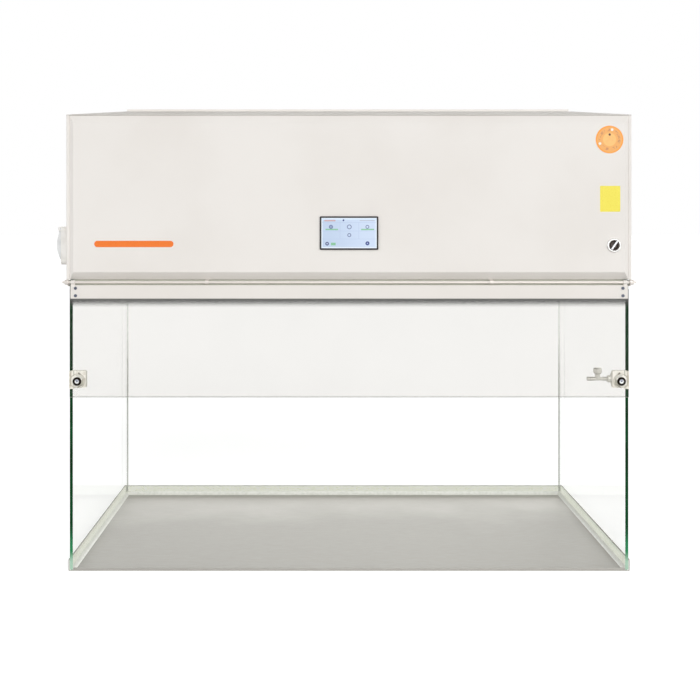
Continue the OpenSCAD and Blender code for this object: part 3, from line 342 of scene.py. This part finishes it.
def galvanised_sheet():
    """Zinc spangle: flat crystals, each with its own tone."""
    zinc = Finish("galvanised_sheet")
    crystal = zinc.cells(0.012, out="Color")
    tone = zinc.mix(srgb(176, 180, 184), srgb(140, 145, 150), zinc.axes(crystal)[0])
    seams = zinc.cells(0.012, "DISTANCE_TO_EDGE")
    return zinc.done(zinc.principled(
        Base_Color=tone, Metallic=1.0, Roughness=0.34 + 0.2 * zinc.axes(crystal)[1],
        Normal=zinc.bump(zinc.rise(seams, 0.0, 0.06), 0.00003)))


def moulded(name, colour, shade, rough=0.4, grain=0.0012, depth=0.00003):
    """Moulded plastic: fine spark-eroded grain and slightly uneven colour."""
    plastic = Finish(name)
    uneven = plastic.noise(0.018, detail=2.0)
    texture = plastic.noise(grain, detail=2.0)
    tone = plastic.mix(colour, shade, plastic.rise(uneven, 0.35, 0.75))
    return plastic.done(plastic.principled(
        Base_Color=tone, Roughness=rough + 0.12 * texture, Normal=plastic.bump(texture, depth)))


def sealant_body(finish, colour, shade, glow):
    """Sealant with tooled ripples, and a painted glow of its own colour that lightens it."""
    ripple = finish.noise(0.006, detail=3.0)
    tone = finish.mix(colour, shade, finish.rise(ripple, 0.35, 0.75))
    return finish.principled(
        Base_Color=tone, Roughness=0.3 + 0.15 * ripple, Emission_Color=tone, Emission_Strength=glow,
        Normal=finish.bump(ripple, 0.0002))


def cured_sealant():
    """White sealant, as squeezed along the foot of the panes."""
    bead = Finish("white_sealant")
    # The 0.2 is a painted glow.
    return bead.done(sealant_body(bead, srgb(212, 213, 206), srgb(199, 201, 192), 0.2))


def clear_sealant():
    """Thin bead, cloudy low down and clear higher up, where it would show dark in the housing's shade; its
    cloudy part has a faint painted glow.
    """
    bead = Finish("clear_sealant")
    z = bead.axes()[2]
    clear = bead.node("ShaderNodeBsdfTransparent", None, {"Color": srgb(252, 253, 251)})
    cloudy = sealant_body(bead, srgb(186, 188, 181), srgb(170, 173, 164), 0.1)
    return bead.done(bead.blend(bead.rise(z, 0.42, 0.18, 0.12, 0.85), clear, cloudy))


def rubber(name, colour, dust):
    """Soft matt rubber with a bloom of dust."""
    soft = Finish(name)
    bloom = soft.noise(0.006, detail=4.0)
    pores = soft.noise(0.0007, detail=2.0)
    tone = soft.mix(colour, dust, soft.rise(bloom, 0.5, 0.85, 0.0, 0.5))
    return soft.done(soft.principled(
        Base_Color=tone, Roughness=0.62 + 0.2 * pores, Normal=soft.bump(pores, 0.00004)))


def filter_paper():
    """Wet-laid glass-fibre paper: matted fibres on a soft white sheet."""
    paper = Finish("filter_paper")
    fibres = paper.noise(0.0016, paper.stretched(1.0, 5.0, 1.0), detail=5.0)
    tone = paper.mix(srgb(238, 238, 232), srgb(214, 213, 203), paper.rise(fibres, 0.35, 0.75))
    return paper.done(paper.principled(
        Base_Color=tone, Roughness=0.85 + 0.1 * fibres, Normal=paper.bump(fibres, 0.0001)))


def prefilter_mat():
    """Non-woven mat: loose crossed fibres with dust caught between them."""
    mat = Finish("prefilter_mat")
    one = mat.noise(0.0025, mat.stretched(1.0, 8.0, 1.0), detail=4.0)
    other = mat.noise(0.0025, mat.stretched(8.0, 1.0, 1.0), detail=4.0)
    web = one.either(other)
    tone = mat.mix(srgb(176, 190, 202), srgb(222, 230, 236), mat.rise(web, 0.5, 0.75))
    return mat.done(mat.principled(
        Base_Color=tone, Roughness=0.9 + 0.05 * web, Normal=mat.bump(web, 0.0003)))


def prefilter_card():
    """Pressed card with darker fibres."""
    card = Finish("prefilter_card")
    fibres = card.noise(0.002, card.stretched(1.0, 4.0, 4.0), detail=5.0)
    tone = card.mix(srgb(205, 182, 146), srgb(166, 140, 102), card.rise(fibres, 0.4, 0.8))
    return card.done(card.principled(
        Base_Color=tone, Roughness=0.8 + 0.15 * fibres, Normal=card.bump(fibres, 0.00008)))


side_low, side_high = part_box("glass_side_right")
PANE_FOOT = side_low.z + 0.0009
PANE_FRONT = side_low.y + 0.01
SIDE_FACE = side_high.x - 0.002
BACK_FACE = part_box("glass_back")[1].y - 0.001
TRAY_SEAL_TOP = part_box("tray_seal")[1].z
SASH_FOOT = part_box("sash_glass")[0].z
RAIL_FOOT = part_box("sash_rail")[0].z
ARRIS = 0.0012


def dusty_face(glass, tint, dust, smears):
    """A clear face with a little dust and a few smears on it."""
    clear = glass.node("ShaderNodeBsdfTransparent", None, {"Color": tint})
    film_tone = glass.mix(srgb(216, 216, 213), srgb(198, 198, 194), smears)
    film = glass.principled(Base_Color=film_tone, Roughness=0.5 + 0.2 * smears, Specular_IOR_Level=0.2)
    return glass.blend(dust * glass.rise(smears, 0.25, 0.75, 0.4, 1.0), clear, film)


def with_shine(glass, face):
    """A faint mirror over the face, stronger where it is seen along the glass."""
    mirror = glass.node("ShaderNodeBsdfGlossy", None, {"Color": (1, 1, 1, 1), "Roughness": 0.02})
    return glass.blend(glass.node("ShaderNodeFresnel", None, {"IOR": 1.45}) * 0.2, face, mirror)


def green_depth(glass, depth, z):
    """The colour of a long way through glass: dark green, paler near the tray."""
    deep = glass.mix(srgb(0, 44, 14), srgb(2, 72, 34), glass.rise(depth, 0.35, 0.7))
    level = z - 0.012 * depth
    foot = glass.mix(srgb(176, 210, 188), srgb(46, 134, 86), glass.rise(level, 0.008, 0.034))
    return glass.mix(foot, deep, glass.rise(level, 0.035, 0.085))


def ground_edge(glass, tone, smears):
    """The cut and ground rim of a pane."""
    return glass.principled(Base_Color=tone, Roughness=0.3 + 0.15 * smears, Specular_IOR_Level=0.08)


def edge_depth(glass):
    """How far the light comes through the glass behind an edge, from 0 to 1."""
    return glass.noise(0.02, glass.stretched(1.0, 1.0, 0.25), detail=3.0)


def fixed_pane(name, across, outer_face):
    """Glued float glass, thin along one axis: the tray's sealant on its outer face is drawn paler than the
    beads, with a painted glow.
    """
    glass = Finish(name)
    place = glass.axes()
    _, y, z = place
    normal = glass.axes(glass.node("ShaderNodeTexCoord", out="Normal"))
    smears = glass.noise(0.09, detail=3.0)
    face = dusty_face(glass, srgb(254.6, 255, 254.5), 0.008, smears)
    # Painted light: sealant paler than the beads' and glowing, to offset the shade it sits in behind the
    # glass.
    lit_bonded_sealant = sealant_body(glass, srgb(252, 252, 249), srgb(244, 245, 239), 0.28)
    face = glass.blend((abs(place[across]) > outer_face) * (z < TRAY_SEAL_TOP), face, lit_bonded_sealant)
    depth = edge_depth(glass)
    clouded = glass.mix(srgb(214, 217, 208), srgb(190, 200, 188), depth)
    tone = glass.mix(clouded, green_depth(glass, depth, z), y < PANE_FRONT)
    cloudy_share = glass.rise(z, 0.42, 0.18, 0.08, 0.2)
    edge = (abs(normal[across]) < 0.6) * (z > PANE_FOOT) * glass.rise(y, 0.0, 0.1, 1.0, cloudy_share)
    return glass.done(glass.blend(edge, with_shine(glass, face), ground_edge(glass, tone, smears)))


def hanging_pane(name):
    """The sash's tinted glass, with a painted shadow under its rail and a thin painted dark line along its
    foot for the arris.
    """
    glass = Finish(name)
    z = glass.axes()[2]
    normal = glass.axes(glass.node("ShaderNodeTexCoord", out="Normal"))
    smears = glass.noise(0.09, detail=3.0)
    face = dusty_face(glass, srgb(245, 244, 243), 0.014, smears)
    shade_tone = glass.mix(srgb(88, 88, 86), srgb(108, 108, 105), smears)
    shade = glass.principled(Base_Color=shade_tone, Roughness=0.6 + 0.1 * smears, Specular_IOR_Level=0.1)
    # Painted shadow under the rail, and a painted dark line along the foot.
    rail_painted_shadow = glass.rise(z, RAIL_FOOT - 0.0175, RAIL_FOOT + 0.0005, 0.0, 0.84)
    foot_painted_line = glass.rise(z, SASH_FOOT + 2 * ARRIS, SASH_FOOT + ARRIS, 0.0, 0.16)
    face = glass.blend(rail_painted_shadow + foot_painted_line, face, shade)
    tone = green_depth(glass, edge_depth(glass), z)
    tone = glass.mix(srgb(222, 224, 216), tone, abs(normal[2]) < 0.6)
    edge = abs(normal[1]) < 0.6
    return glass.done(glass.blend(edge, with_shine(glass, face), ground_edge(glass, tone, smears)))


def lamp_glass():
    """Quartz tube: a thin bright wall round a pale core."""
    tube = Finish("lamp_glass")
    frost = tube.noise(0.01, tube.stretched(0.2, 1.0, 1.0), detail=3.0)
    tone = tube.mix(srgb(232, 240, 247), srgb(205, 217, 228), frost)
    return tube.done(tube.principled(
        Base_Color=tone, Roughness=0.08 + 0.08 * frost, Coat_Weight=0.6,
        Normal=tube.bump(frost, 0.00002)))


def screen_picture():
    """The lit menu: a header, six cells with round keys, and level bars, in millimetres."""
    lit = Finish("screen_picture")
    x, _, z = lit.axes()
    low, high = reach("display_screen")
    u = x * (1 / MM)
    v = z * (1 / MM) - (low.z + high.z) / 2

    def block(cu, cv, wide, tall):
        return (abs(u - cu) < wide / 2) * (abs(v - cv) < tall / 2)

    def disc(cu, cv, r):
        return lit.rise(lit.distance(u - cu, v - cv), r + 0.3, r - 0.3)

    def ring(cu, cv, r, thick):
        line = abs(lit.distance(u - cu, v - cv) - r)
        return lit.rise(line, thick / 2 + 0.25, thick / 2 - 0.25)

    base = lit.mix(srgb(189, 206, 230), srgb(203, 218, 240), lit.rise(u, -50.0, 50.0))
    rim = (abs(u) - high.x).either(abs(v) - (high.z - low.z) / 2)
    tone = lit.mix(base, srgb(232, 243, 254), lit.rise(rim, -3.4, -0.8))
    tone = lit.mix(tone, srgb(212, 228, 248), block(0.0, 25.8, 104.0, 2.4))
    lines = block(0.0, 19.8, 101.0, 0.7)
    for cv in (3.8, -11.2):
        lines = lines.either(block(0.0, cv, 101.0, 0.6))
    for cu in (-17.0, 18.3):
        lines = lines.either(block(cu, 4.3, 0.7, 31.0))
    tone = lit.mix(tone, srgb(172, 190, 220), lines * 0.7)
    tone = lit.mix(tone, srgb(204, 128, 104), block(-36.0, 23.4, 21.0, 2.8) * 0.6)
    tone = lit.mix(tone, srgb(170, 172, 186), block(34.0, 23.4, 28.0, 1.8) * 0.6)
    rings = ring(-34.0, 11.6, 2.9, 1.9)
    for cu, cv, r in ((0.4, 11.6, 3.7), (34.4, 11.6, 2.8), (0.4, -3.8, 2.9)):
        rings = rings.either(ring(cu, cv, r, 1.5))
    tone = lit.mix(tone, srgb(92, 106, 152), rings * 0.9)
    tone = lit.mix(tone, srgb(112, 126, 170), disc(-34.0, 11.6, 1.6) * 0.8)
    keys = disc(34.5, -19.3, 3.8).either(disc(-10.6, 24.0, 1.7))
    tone = lit.mix(tone, srgb(58, 74, 136), keys)
    tone = lit.mix(tone, srgb(190, 204, 232), disc(34.5, -19.3, 1.1))
    tone = lit.mix(tone, srgb(86, 96, 138), ring(-41.2, -20.0, 2.4, 2.2))
    bars = block(-32.5, 6.7, 23.5, 2.6).either(block(34.7, 6.7, 24.4, 2.6))
    bars = bars.either(block(-29.6, -20.6, 9.0, 5.0))
    tone = lit.mix(tone, srgb(120, 188, 132), bars * 0.85)
    smears = lit.noise(0.03, detail=3.0)
    return lit.done(lit.principled(
        Base_Color=tone, Roughness=0.12 + 0.1 * smears, Emission_Color=tone, Emission_Strength=0.12))


STICKER_X = 489.6
STICKER_Z = 810.8
STICKER_R = 26.0


def sticker_face():
    """Round inspection seal: an orange rim, mottled print and a paler middle."""
    seal = Finish("sticker_face")
    x, _, z = seal.axes()

    def far(cu, cv):
        return seal.distance(x * (1 / MM) - (STICKER_X + cu), z * (1 / MM) - (STICKER_Z + cv))

    radius = far(0.0, 0.0)
    mottle = seal.rise(seal.noise(0.0045, detail=2.0), 0.46, 0.62)
    fibre = seal.noise(0.002, detail=3.0)
    tone = seal.mix(srgb(250, 184, 106), srgb(246, 174, 96), fibre)
    tone = seal.mix(tone, srgb(255, 200, 122), seal.rise(radius, 13.5, 11.5))
    tone = seal.mix(tone, srgb(206, 136, 98), mottle * seal.rise(abs(radius - 18.2), 3.2, 1.6) * 0.75)
    tone = seal.mix(tone, srgb(250, 188, 112), mottle * seal.rise(radius, 9.5, 7.0) * 0.5)
    tone = seal.mix(tone, srgb(253, 166, 66), seal.rise(radius, 22.4, 24.0))
    pale_dot = srgb(252, 244, 232)
    brown_dot = srgb(104, 54, 40)
    for cu, cv, r, colour in ((4.8, 18.6, 2.6, pale_dot), (-18.0, -7.6, 2.6, pale_dot),
                              (0.3, 9.3, 2.2, brown_dot)):
        tone = seal.mix(tone, colour, seal.rise(far(cu, cv), r + 0.3, r - 0.3))
    return seal.done(seal.principled(
        Base_Color=tone, Roughness=0.42 + 0.1 * fibre, Normal=seal.bump(fibre, 0.00002)))


def printed_film(name, colour, shade):
    """Printed vinyl film with a satin face."""
    film = Finish(name)
    print_grain = film.noise(0.0025, detail=3.0)
    tone = film.mix(colour, shade, film.rise(print_grain, 0.35, 0.75, 0.0, 0.6))
    return film.done(film.principled(
        Base_Color=tone, Roughness=0.36 + 0.12 * print_grain, Normal=film.bump(print_grain, 0.00001)))


FINISHES = {
    "painted_steel": powder_coat("housing_paint", srgb(240, 236, 231), srgb(233, 228, 222)),
    "sash_paint": powder_coat("sash_paint", srgb(238, 233, 227), srgb(231, 226, 219), 0.34),
    "rod_metal": brushed("rod_satin", srgb(222, 216, 210), srgb(204, 198, 191), 0.3, metal=0.45),
    "tray_steel": tray_steel(),
    "pane_glass": fixed_pane("side_glass", 0, SIDE_FACE),
    "sash_pane": hanging_pane("sash_glass"),
    "sealant": cured_sealant(),
    "dark_rubber": rubber("dark_rubber", srgb(30, 27, 24), srgb(70, 66, 60)),
    "clip_plastic": clip_enamel(),
    "bright_steel": plated("bright_steel", srgb(214, 216, 220), srgb(150, 152, 156), 0.2),
    "galvanised": galvanised_sheet(),
    "air_diffuser": powder_coat("diffuser_paint", srgb(238, 238, 235), srgb(228, 228, 224)),
    "filter_metal": brushed("filter_aluminium", srgb(196, 198, 201), srgb(168, 171, 175), 0.32),
    "filter_paper": filter_paper(),
    "prefilter_card": prefilter_card(),
    "prefilter_mat": prefilter_mat(),
    "motor_body": moulded("motor_enamel", srgb(44, 45, 48), srgb(30, 31, 33), 0.42, 0.0008, 0.00003),
    "wheel_plastic": moulded("wheel_plastic", srgb(122, 128, 136), srgb(100, 106, 114), 0.5),
    "bezel_metal": brushed("bezel_metal", srgb(46, 43, 43), srgb(30, 28, 29), 0.36, metal=0.5),
    "screen": screen_picture(),
    "board_green": moulded("board_green", srgb(26, 98, 56), srgb(16, 74, 40), 0.32, 0.003, 0.00005),
    "switch_chrome": plated("switch_chrome", srgb(212, 212, 210), srgb(150, 150, 148), 0.16),
    "black_plastic": moulded("black_plastic", srgb(30, 30, 31), srgb(42, 42, 43), 0.45),
    "white_plastic": moulded("white_plastic", srgb(238, 238, 234), srgb(226, 226, 220), 0.4),
    "lamp_glass": lamp_glass(),
    "lamp_metal": brushed("lamp_metal", srgb(206, 207, 208), srgb(182, 184, 186), 0.3),
    "lamp_cover": moulded("opal_cover", srgb(246, 248, 246), srgb(236, 239, 237), 0.45, 0.002, 0.00002),
    "socket_plastic": moulded("socket_plastic", srgb(236, 234, 229), srgb(224, 221, 215), 0.32),
    "tap_metal": brushed("tap_nickel", srgb(238, 237, 230), srgb(212, 211, 203), 0.3, metal=0.55),
}
NODE_FINISHES = {
    "glass_back": fixed_pane("back_glass", 1, BACK_FACE),
    "draught_seal": rubber("grey_seal", srgb(192, 194, 180), srgb(175, 175, 162)),
    "clip_bumpers": bumper_rubber(),
    "clip_screws": socket_screw(),
    "socket_lid": moulded("lid_plastic", srgb(230, 231, 231), srgb(216, 217, 217), 0.16, 0.004, 0.00001),
    "rail_screws": plated("zinc_screws", srgb(96, 100, 110), srgb(66, 69, 78), 0.4),
    # The housing's paint, darkened as painted shade on the lid's up-facing slope.
    "roof_lid": powder_coat("roof_paint_shaded", srgb(211, 207, 201), srgb(203, 198, 191), 0.55, 0.12),
    "switch_rotor": rotor_metal(),
}

for part in frame["record"]["subparts"]:
    mesh = frame["nodes"][part["node"]].data
    mesh.materials.clear()
    mesh.materials.append(NODE_FINISHES.get(part["node"]) or FINISHES[part["material_slot"]])


# ---- Edges of folded sheet, glass and mouldings ----

SHARP = math.radians(28)
SOFT_EDGES = {
    "housing_shell": 0.6, "front_panel": 0.8, "roof_lid": 0.8, "work_tray": 0.5, "sash_rail": 0.4,
    "glass_side_left": 0.4, "glass_side_right": 0.4, "glass_back": 0.4, "sash_glass": 0.5,
    "intake_grille": 0.3, "socket_base": 0.6, "display_frame": 0.4, "mains_inlet": 0.4,
    "ceiling_deck": 0.4, "draught_seal": 0.6, "tray_seal": 0.3, "led_bar": 0.4, "led_cover": 1.2,
}


def soften(node, width):
    """Welds a CAD mesh in its modifiers and rounds its sharp edges."""
    piece = frame["nodes"][node]
    if "custom_normal" in piece.data.attributes:
        piece.data.attributes.remove(piece.data.attributes["custom_normal"])
    piece.data.shade_smooth()
    weld = piece.modifiers.new("weld", "WELD")
    weld.merge_threshold = 0.00001
    bevel = piece.modifiers.new("edges", "BEVEL")
    bevel.limit_method = "ANGLE"
    bevel.angle_limit = SHARP
    bevel.width = width * MM
    bevel.segments = 2
    bevel.use_clamp_overlap = True
    weighted = piece.modifiers.new("flat_faces", "WEIGHTED_NORMAL")
    weighted.keep_sharp = True


for node, width in SOFT_EDGES.items():
    soften(node, width)


# ---- Pieces made here, drawn in millimetres ----

def piece_from(name, form, material, body):
    """Turns a bmesh into a named piece that rides on a body."""
    bmesh.ops.recalc_face_normals(form, faces=form.faces)
    bmesh.ops.scale(form, vec=(MM, MM, MM), verts=form.verts)
    mesh = bpy.data.meshes.new(name)
    form.to_mesh(mesh)
    form.free()
    mesh.materials.append(material)
    piece = bpy.data.objects.new(name, mesh)
    bpy.context.scene.collection.objects.link(piece)
    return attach(piece, body)


def circle(r, sides):
    """Points of a circle round the origin, in order."""
    turns = [math.tau * k / sides for k in range(sides)]
    return [(r * math.cos(turn), r * math.sin(turn)) for turn in turns]


def rounded_outline(wide, high, r):
    """Points of a rectangle with round corners, in order."""
    steps = 8
    points = []
    for quarter, (sx, sz) in enumerate(((1, 1), (-1, 1), (-1, -1), (1, -1))):
        for k in range(steps + 1):
            a = math.radians(90 * (quarter + k / steps))
            points.append((sx * (wide / 2 - r) + r * math.cos(a), sz * (high / 2 - r) + r * math.sin(a)))
    return points


def bridge(form, low, high):
    """Faces between two closed rings of vertices."""
    for k in range(len(low)):
        after = (k + 1) % len(low)
        form.faces.new((low[k], low[after], high[after], high[k]))


def loft(form, outlines):
    """Joins outlines of the same length one after the other, closed at both ends."""
    rings = [[form.verts.new(point) for point in outline] for outline in outlines]
    for low, high in zip(rings, rings[1:]):
        bridge(form, low, high)
    form.faces.new(rings[0])
    form.faces.new(list(reversed(rings[-1])))


def film_patch(name, x, z, outline, thick, material):
    """A thin film on the front panel, its face eased at the rim."""
    panel_face = reach("front_panel")[0].y
    outlines = []
    for proud, shrink in ((0.0, 0.0), (thick * 0.6, 0.0), (thick, 0.12)):
        scaled = [(px, pz, 1 - shrink / max(math.hypot(px, pz), 1.0)) for px, pz in outline]
        outlines.append([(x + px * k, panel_face - proud, z + pz * k) for px, pz, k in scaled])
    form = bmesh.new()
    loft(form, outlines)
    return piece_from(name, form, material, "hood")


def sash_gasket():
    """A grey glazing lip between the rail and the glass."""
    rail, _ = reach("sash_rail")
    glass, _ = reach("sash_glass")
    lip_y = rail.y + 1.2
    lip_z = rail.z - 2.6
    profile = [(lip_y, rail.z), (lip_y, lip_z + 0.8), (lip_y + 0.8, lip_z),
               (glass.y, lip_z), (glass.y, rail.z)]
    end = glass.x + 2.5
    form = bmesh.new()
    loft(form, [[(x, y, z) for y, z in profile] for x in (end, -end)])
    grey = rubber("grey_gasket", srgb(112, 112, 109), srgb(136, 136, 133))
    return piece_from("sash_gasket", form, grey, "sash")


def clip_collars():
    """Hexagon collars that slope up from the clips' plates to the two bumpers."""
    form = bmesh.new()
    for side in (-1, 1):
        outlines = []
        for behind, r in ((6.5, COLLAR_R), (5.9, COLLAR_R), (2.9, 9.0), (2.7, BUMPER_R)):
            outlines.append([(side * BUMPER_X + px, bumper_low.y + behind, BUMPER_Z + pz)
                             for pz, px in circle(r, 6)])
        loft(form, outlines)
    return piece_from("clip_collars", form, collar_enamel(), "sash")


def panel_sealant():
    """Paintable sealant in the gaps between the front panel and the housing."""
    low, high = reach("front_panel")
    face = reach("housing_shell")[0].y
    inner, middle, outer = high.x - 0.3, high.x + 0.2, high.x + 0.7
    profile = [(inner, face + 0.6), (middle, face + 0.2), (outer, face + 0.6),
               (outer, face + 7), (inner, face + 7)]
    form = bmesh.new()
    for side in (-1, 1):
        loft(form, [[(side * x, y, z) for x, y in profile] for z in (low.z + 0.5, high.z - 0.5)])
    return piece_from("panel_sealant", form, FINISHES["painted_steel"], "hood")


def chamber():
    """Half the chamber's inner width, the face of its back pane, and the front and foot of its side panes."""
    side, _ = reach("glass_side_right")
    back, _ = reach("glass_back")
    return side.x, back.y, side.y, side.z


def glass_beads():
    """Sealant fillets where the panes meet the tray."""
    inner, back, front, foot = chamber()
    fillet = [(-0.6, -0.4), (4.6, -0.4), (4.6, 0.3), (3.1, 1.2),
              (2.0, 2.8), (1.2, 5.2), (0.4, 8.8), (-0.6, 8.8)]
    stations = []
    for side, at_back in ((-1, False), (-1, True), (1, True), (1, False)):
        stations.append([(side * (inner - d), back - d if at_back else front + 2, foot + h)
                         for d, h in fillet])
    form = bmesh.new()
    loft(form, stations)
    return piece_from("glass_beads", form, FINISHES["sealant"], "hood")


def corner_beads():
    """Thin clear beads up the two back corners of the chamber."""
    inner, back, _, foot = chamber()
    top = reach("ceiling_deck")[1].z
    corner = [(-0.5, -0.5), (2.0, -0.5), (2.0, 0.3), (1.0, 1.0), (0.3, 2.0), (-0.5, 2.0)]
    form = bmesh.new()
    for side in (-1, 1):
        loft(form, [[(side * (inner - d), back - h, z) for d, h in corner] for z in (foot, top)])
    return piece_from("corner_beads", form, clear_sealant(), "hood")


SCREW_R = 3.6
SCREW_SIDES = 24
SCREW_INSET = 15.0


def screw_head(form, centre, outward):
    """A low domed head with a cross recess, facing outward."""
    turn = Vector(outward).to_track_quat("Z", "Y").to_matrix().to_4x4()
    turn.translation = centre
    arm, wide, deep, crown = [SCREW_R * share for share in (0.55, 0.12, 0.28, 0.2)]

    def ring(points, height):
        return [form.verts.new(turn @ Vector((x, y, height))) for x, y in points]

    dome = [(1.0, -crown), (1.0, 0.0), (0.9, crown * 0.6), (0.72, crown)]
    rims = [ring(circle(SCREW_R * share, SCREW_SIDES), height) for share, height in dome]
    for low, high in zip(rims, rims[1:]):
        bridge(form, low, high)
    cross = []
    corner = [(arm, wide), (wide, wide), (wide, arm)]
    for _ in range(4):
        cross += corner
        corner = [(-y, x) for x, y in corner]
    mouth = ring(cross, crown)
    floor = ring([(x * 0.7, y * 0.7) for x, y in cross], crown - deep)
    bridge(form, mouth, floor)
    form.faces.new(floor)
    edges = [form.edges.get(pair) for loop in (rims[-1], mouth) for pair in zip(loop, loop[1:] + loop[:1])]
    bmesh.ops.triangle_fill(form, use_beauty=True, edges=edges)


LID_RUN = 96.0
LID_SKIRT = 1.5
LID_INSET = 12.0


def cover_screws():
    """Small screws on the housing's sides and back, and on the lid's slopes."""
    low, high = reach("housing_shell")
    lid_low, lid_high = reach("roof_lid")
    foot, middle, head = low.z + SCREW_INSET, (low.z + high.z) / 2, high.z - SCREW_INSET
    form = bmesh.new()
    for side in (-1, 1):
        for z in (foot, middle, head):
            screw_head(form, (side * high.x, low.y + 10, z), (side, 0, 0))
    for x in (-500, -250, 0, 250, 500):
        for z in (foot, head):
            screw_head(form, (x, high.y, z), (0, 1, 0))
    pitch = math.atan2(lid_high.z - lid_low.z - LID_SKIRT, LID_RUN)
    z = lid_low.z + LID_SKIRT + LID_INSET * math.tan(pitch)
    for x in (-400, 0, 400):
        screw_head(form, (x, lid_high.y - LID_INSET, z), (0, math.sin(pitch), math.cos(pitch)))
    for side in (-1, 1):
        for y in (-150, 0, 150):
            screw_head(form, (side * (lid_high.x - LID_INSET), y, z),
                       (side * math.sin(pitch), 0, math.cos(pitch)))
    return piece_from("cover_screws", form, FINISHES["bright_steel"], "hood")


film_patch("round_seal", STICKER_X, STICKER_Z, circle(STICKER_R, 72), 0.3, sticker_face())
film_patch("plain_patch", 490.8, 699.4, rounded_outline(38.0, 48.7, 1.5), 0.25,
           printed_film("yellow_film", srgb(248, 234, 84), srgb(240, 222, 66)))
film_patch("accent_stripe", -404.5, 614.5, rounded_outline(149.0, 12.0, 5.9), 0.2,
           printed_film("orange_film", srgb(246, 124, 30), srgb(240, 112, 22)))
sash_gasket()
clip_collars()
panel_sealant()
glass_beads()
corner_beads()
cover_screws()


# ---- Floor, light and camera ----

FLOOR_HALF = 60.0
FLOOR_GLOW = 0.66
SKY_LOW = 0.73
SKY_HIGH = 0.08


def seen_rays(finish):
    """1 for a ray from the camera, a mirror or glass."""
    path = finish.node("ShaderNodeLightPath").plug.node.outputs
    camera_ray, mirror_ray, glass_ray = (
        Field(finish, path[f"Is {kind} Ray"]) for kind in ("Camera", "Glossy", "Transmission"))
    return camera_ray.either(mirror_ray).either(glass_ray)


def studio_floor():
    """A pale floor that shows white and keeps the hood's shadow."""
    mesh = bpy.data.meshes.new("studio_floor")
    h = FLOOR_HALF
    mesh.from_pydata([(-h, -h, 0), (h, -h, 0), (h, h, 0), (-h, h, 0)], [], [(0, 1, 2, 3)])
    floor = bpy.data.objects.new("studio_floor", mesh)
    bpy.context.scene.collection.objects.link(floor)
    pale = Finish("studio_floor")
    matt = pale.node("ShaderNodeBsdfDiffuse", None, {"Color": (0.7, 0.7, 0.7, 1)})
    glow = pale.node("ShaderNodeEmission", None, {"Color": (1, 1, 1, 1), "Strength": FLOOR_GLOW})
    dark = pale.node("ShaderNodeEmission", None, {"Color": (0, 0, 0, 1), "Strength": 0.0})
    shown = pale.blend(seen_rays(pale), dark, glow)
    mesh.materials.append(pale.done(pale.node("ShaderNodeAddShader", None, {0: matt, 1: shown})))


def studio_sky():
    """A soft sky, brightest near the horizon, behind a plain white backdrop."""
    world = bpy.data.worlds.new("studio")
    bpy.context.scene.world = world
    sky = Finish("studio", world, "Generated")
    level = sky.rise(sky.axes()[2], 0.1, 0.9, SKY_LOW, SKY_HIGH)
    soft = sky.node("ShaderNodeBackground", None, {"Color": (1, 1, 1, 1), "Strength": level})
    white = sky.node("ShaderNodeBackground", None, {"Color": (1, 1, 1, 1), "Strength": 1.0})
    sky.done(sky.blend(seen_rays(sky), soft, white), "ShaderNodeOutputWorld")


def soft_sun(name, azimuth, height, strength, spread):
    """A wide sun from an azimuth, 0 being the front, and a height above the bench, in degrees."""
    lamp = bpy.data.lights.new(name, "SUN")
    lamp.energy = strength
    lamp.angle = math.radians(spread)
    holder = bpy.data.objects.new(name, lamp)
    bpy.context.scene.collection.objects.link(holder)
    a, e = math.radians(azimuth), math.radians(height)
    toward = Vector((math.sin(a) * math.cos(e), -math.cos(a) * math.cos(e), math.sin(e)))
    holder.rotation_euler = toward.to_track_quat("Z", "Y").to_euler()


def front_camera():
    """A level camera a little left of the middle, at the display's height."""
    lens = bpy.data.cameras.new("camera")
    lens.lens = 58.2
    lens.sensor_width = 36.0
    lens.shift_x = 0.0386
    lens.shift_y = -0.18
    camera = bpy.data.objects.new("camera", lens)
    camera.location = (-0.049, -2.427, 0.652)
    camera.rotation_euler = (math.radians(90), 0, 0)
    bpy.context.scene.collection.objects.link(camera)
    bpy.context.scene.camera = camera


studio_floor()
studio_sky()
soft_sun("front_softbox", 20, 24, 1.52, 50)
soft_sun("left_softbox", -70, 14, 0.9, 60)
soft_sun("back_softbox", 170, 8, 1.0, 60)
soft_sun("right_softbox", 95, 14, 0.55, 60)
front_camera()
bpy.context.scene.view_settings.view_transform = "Standard"
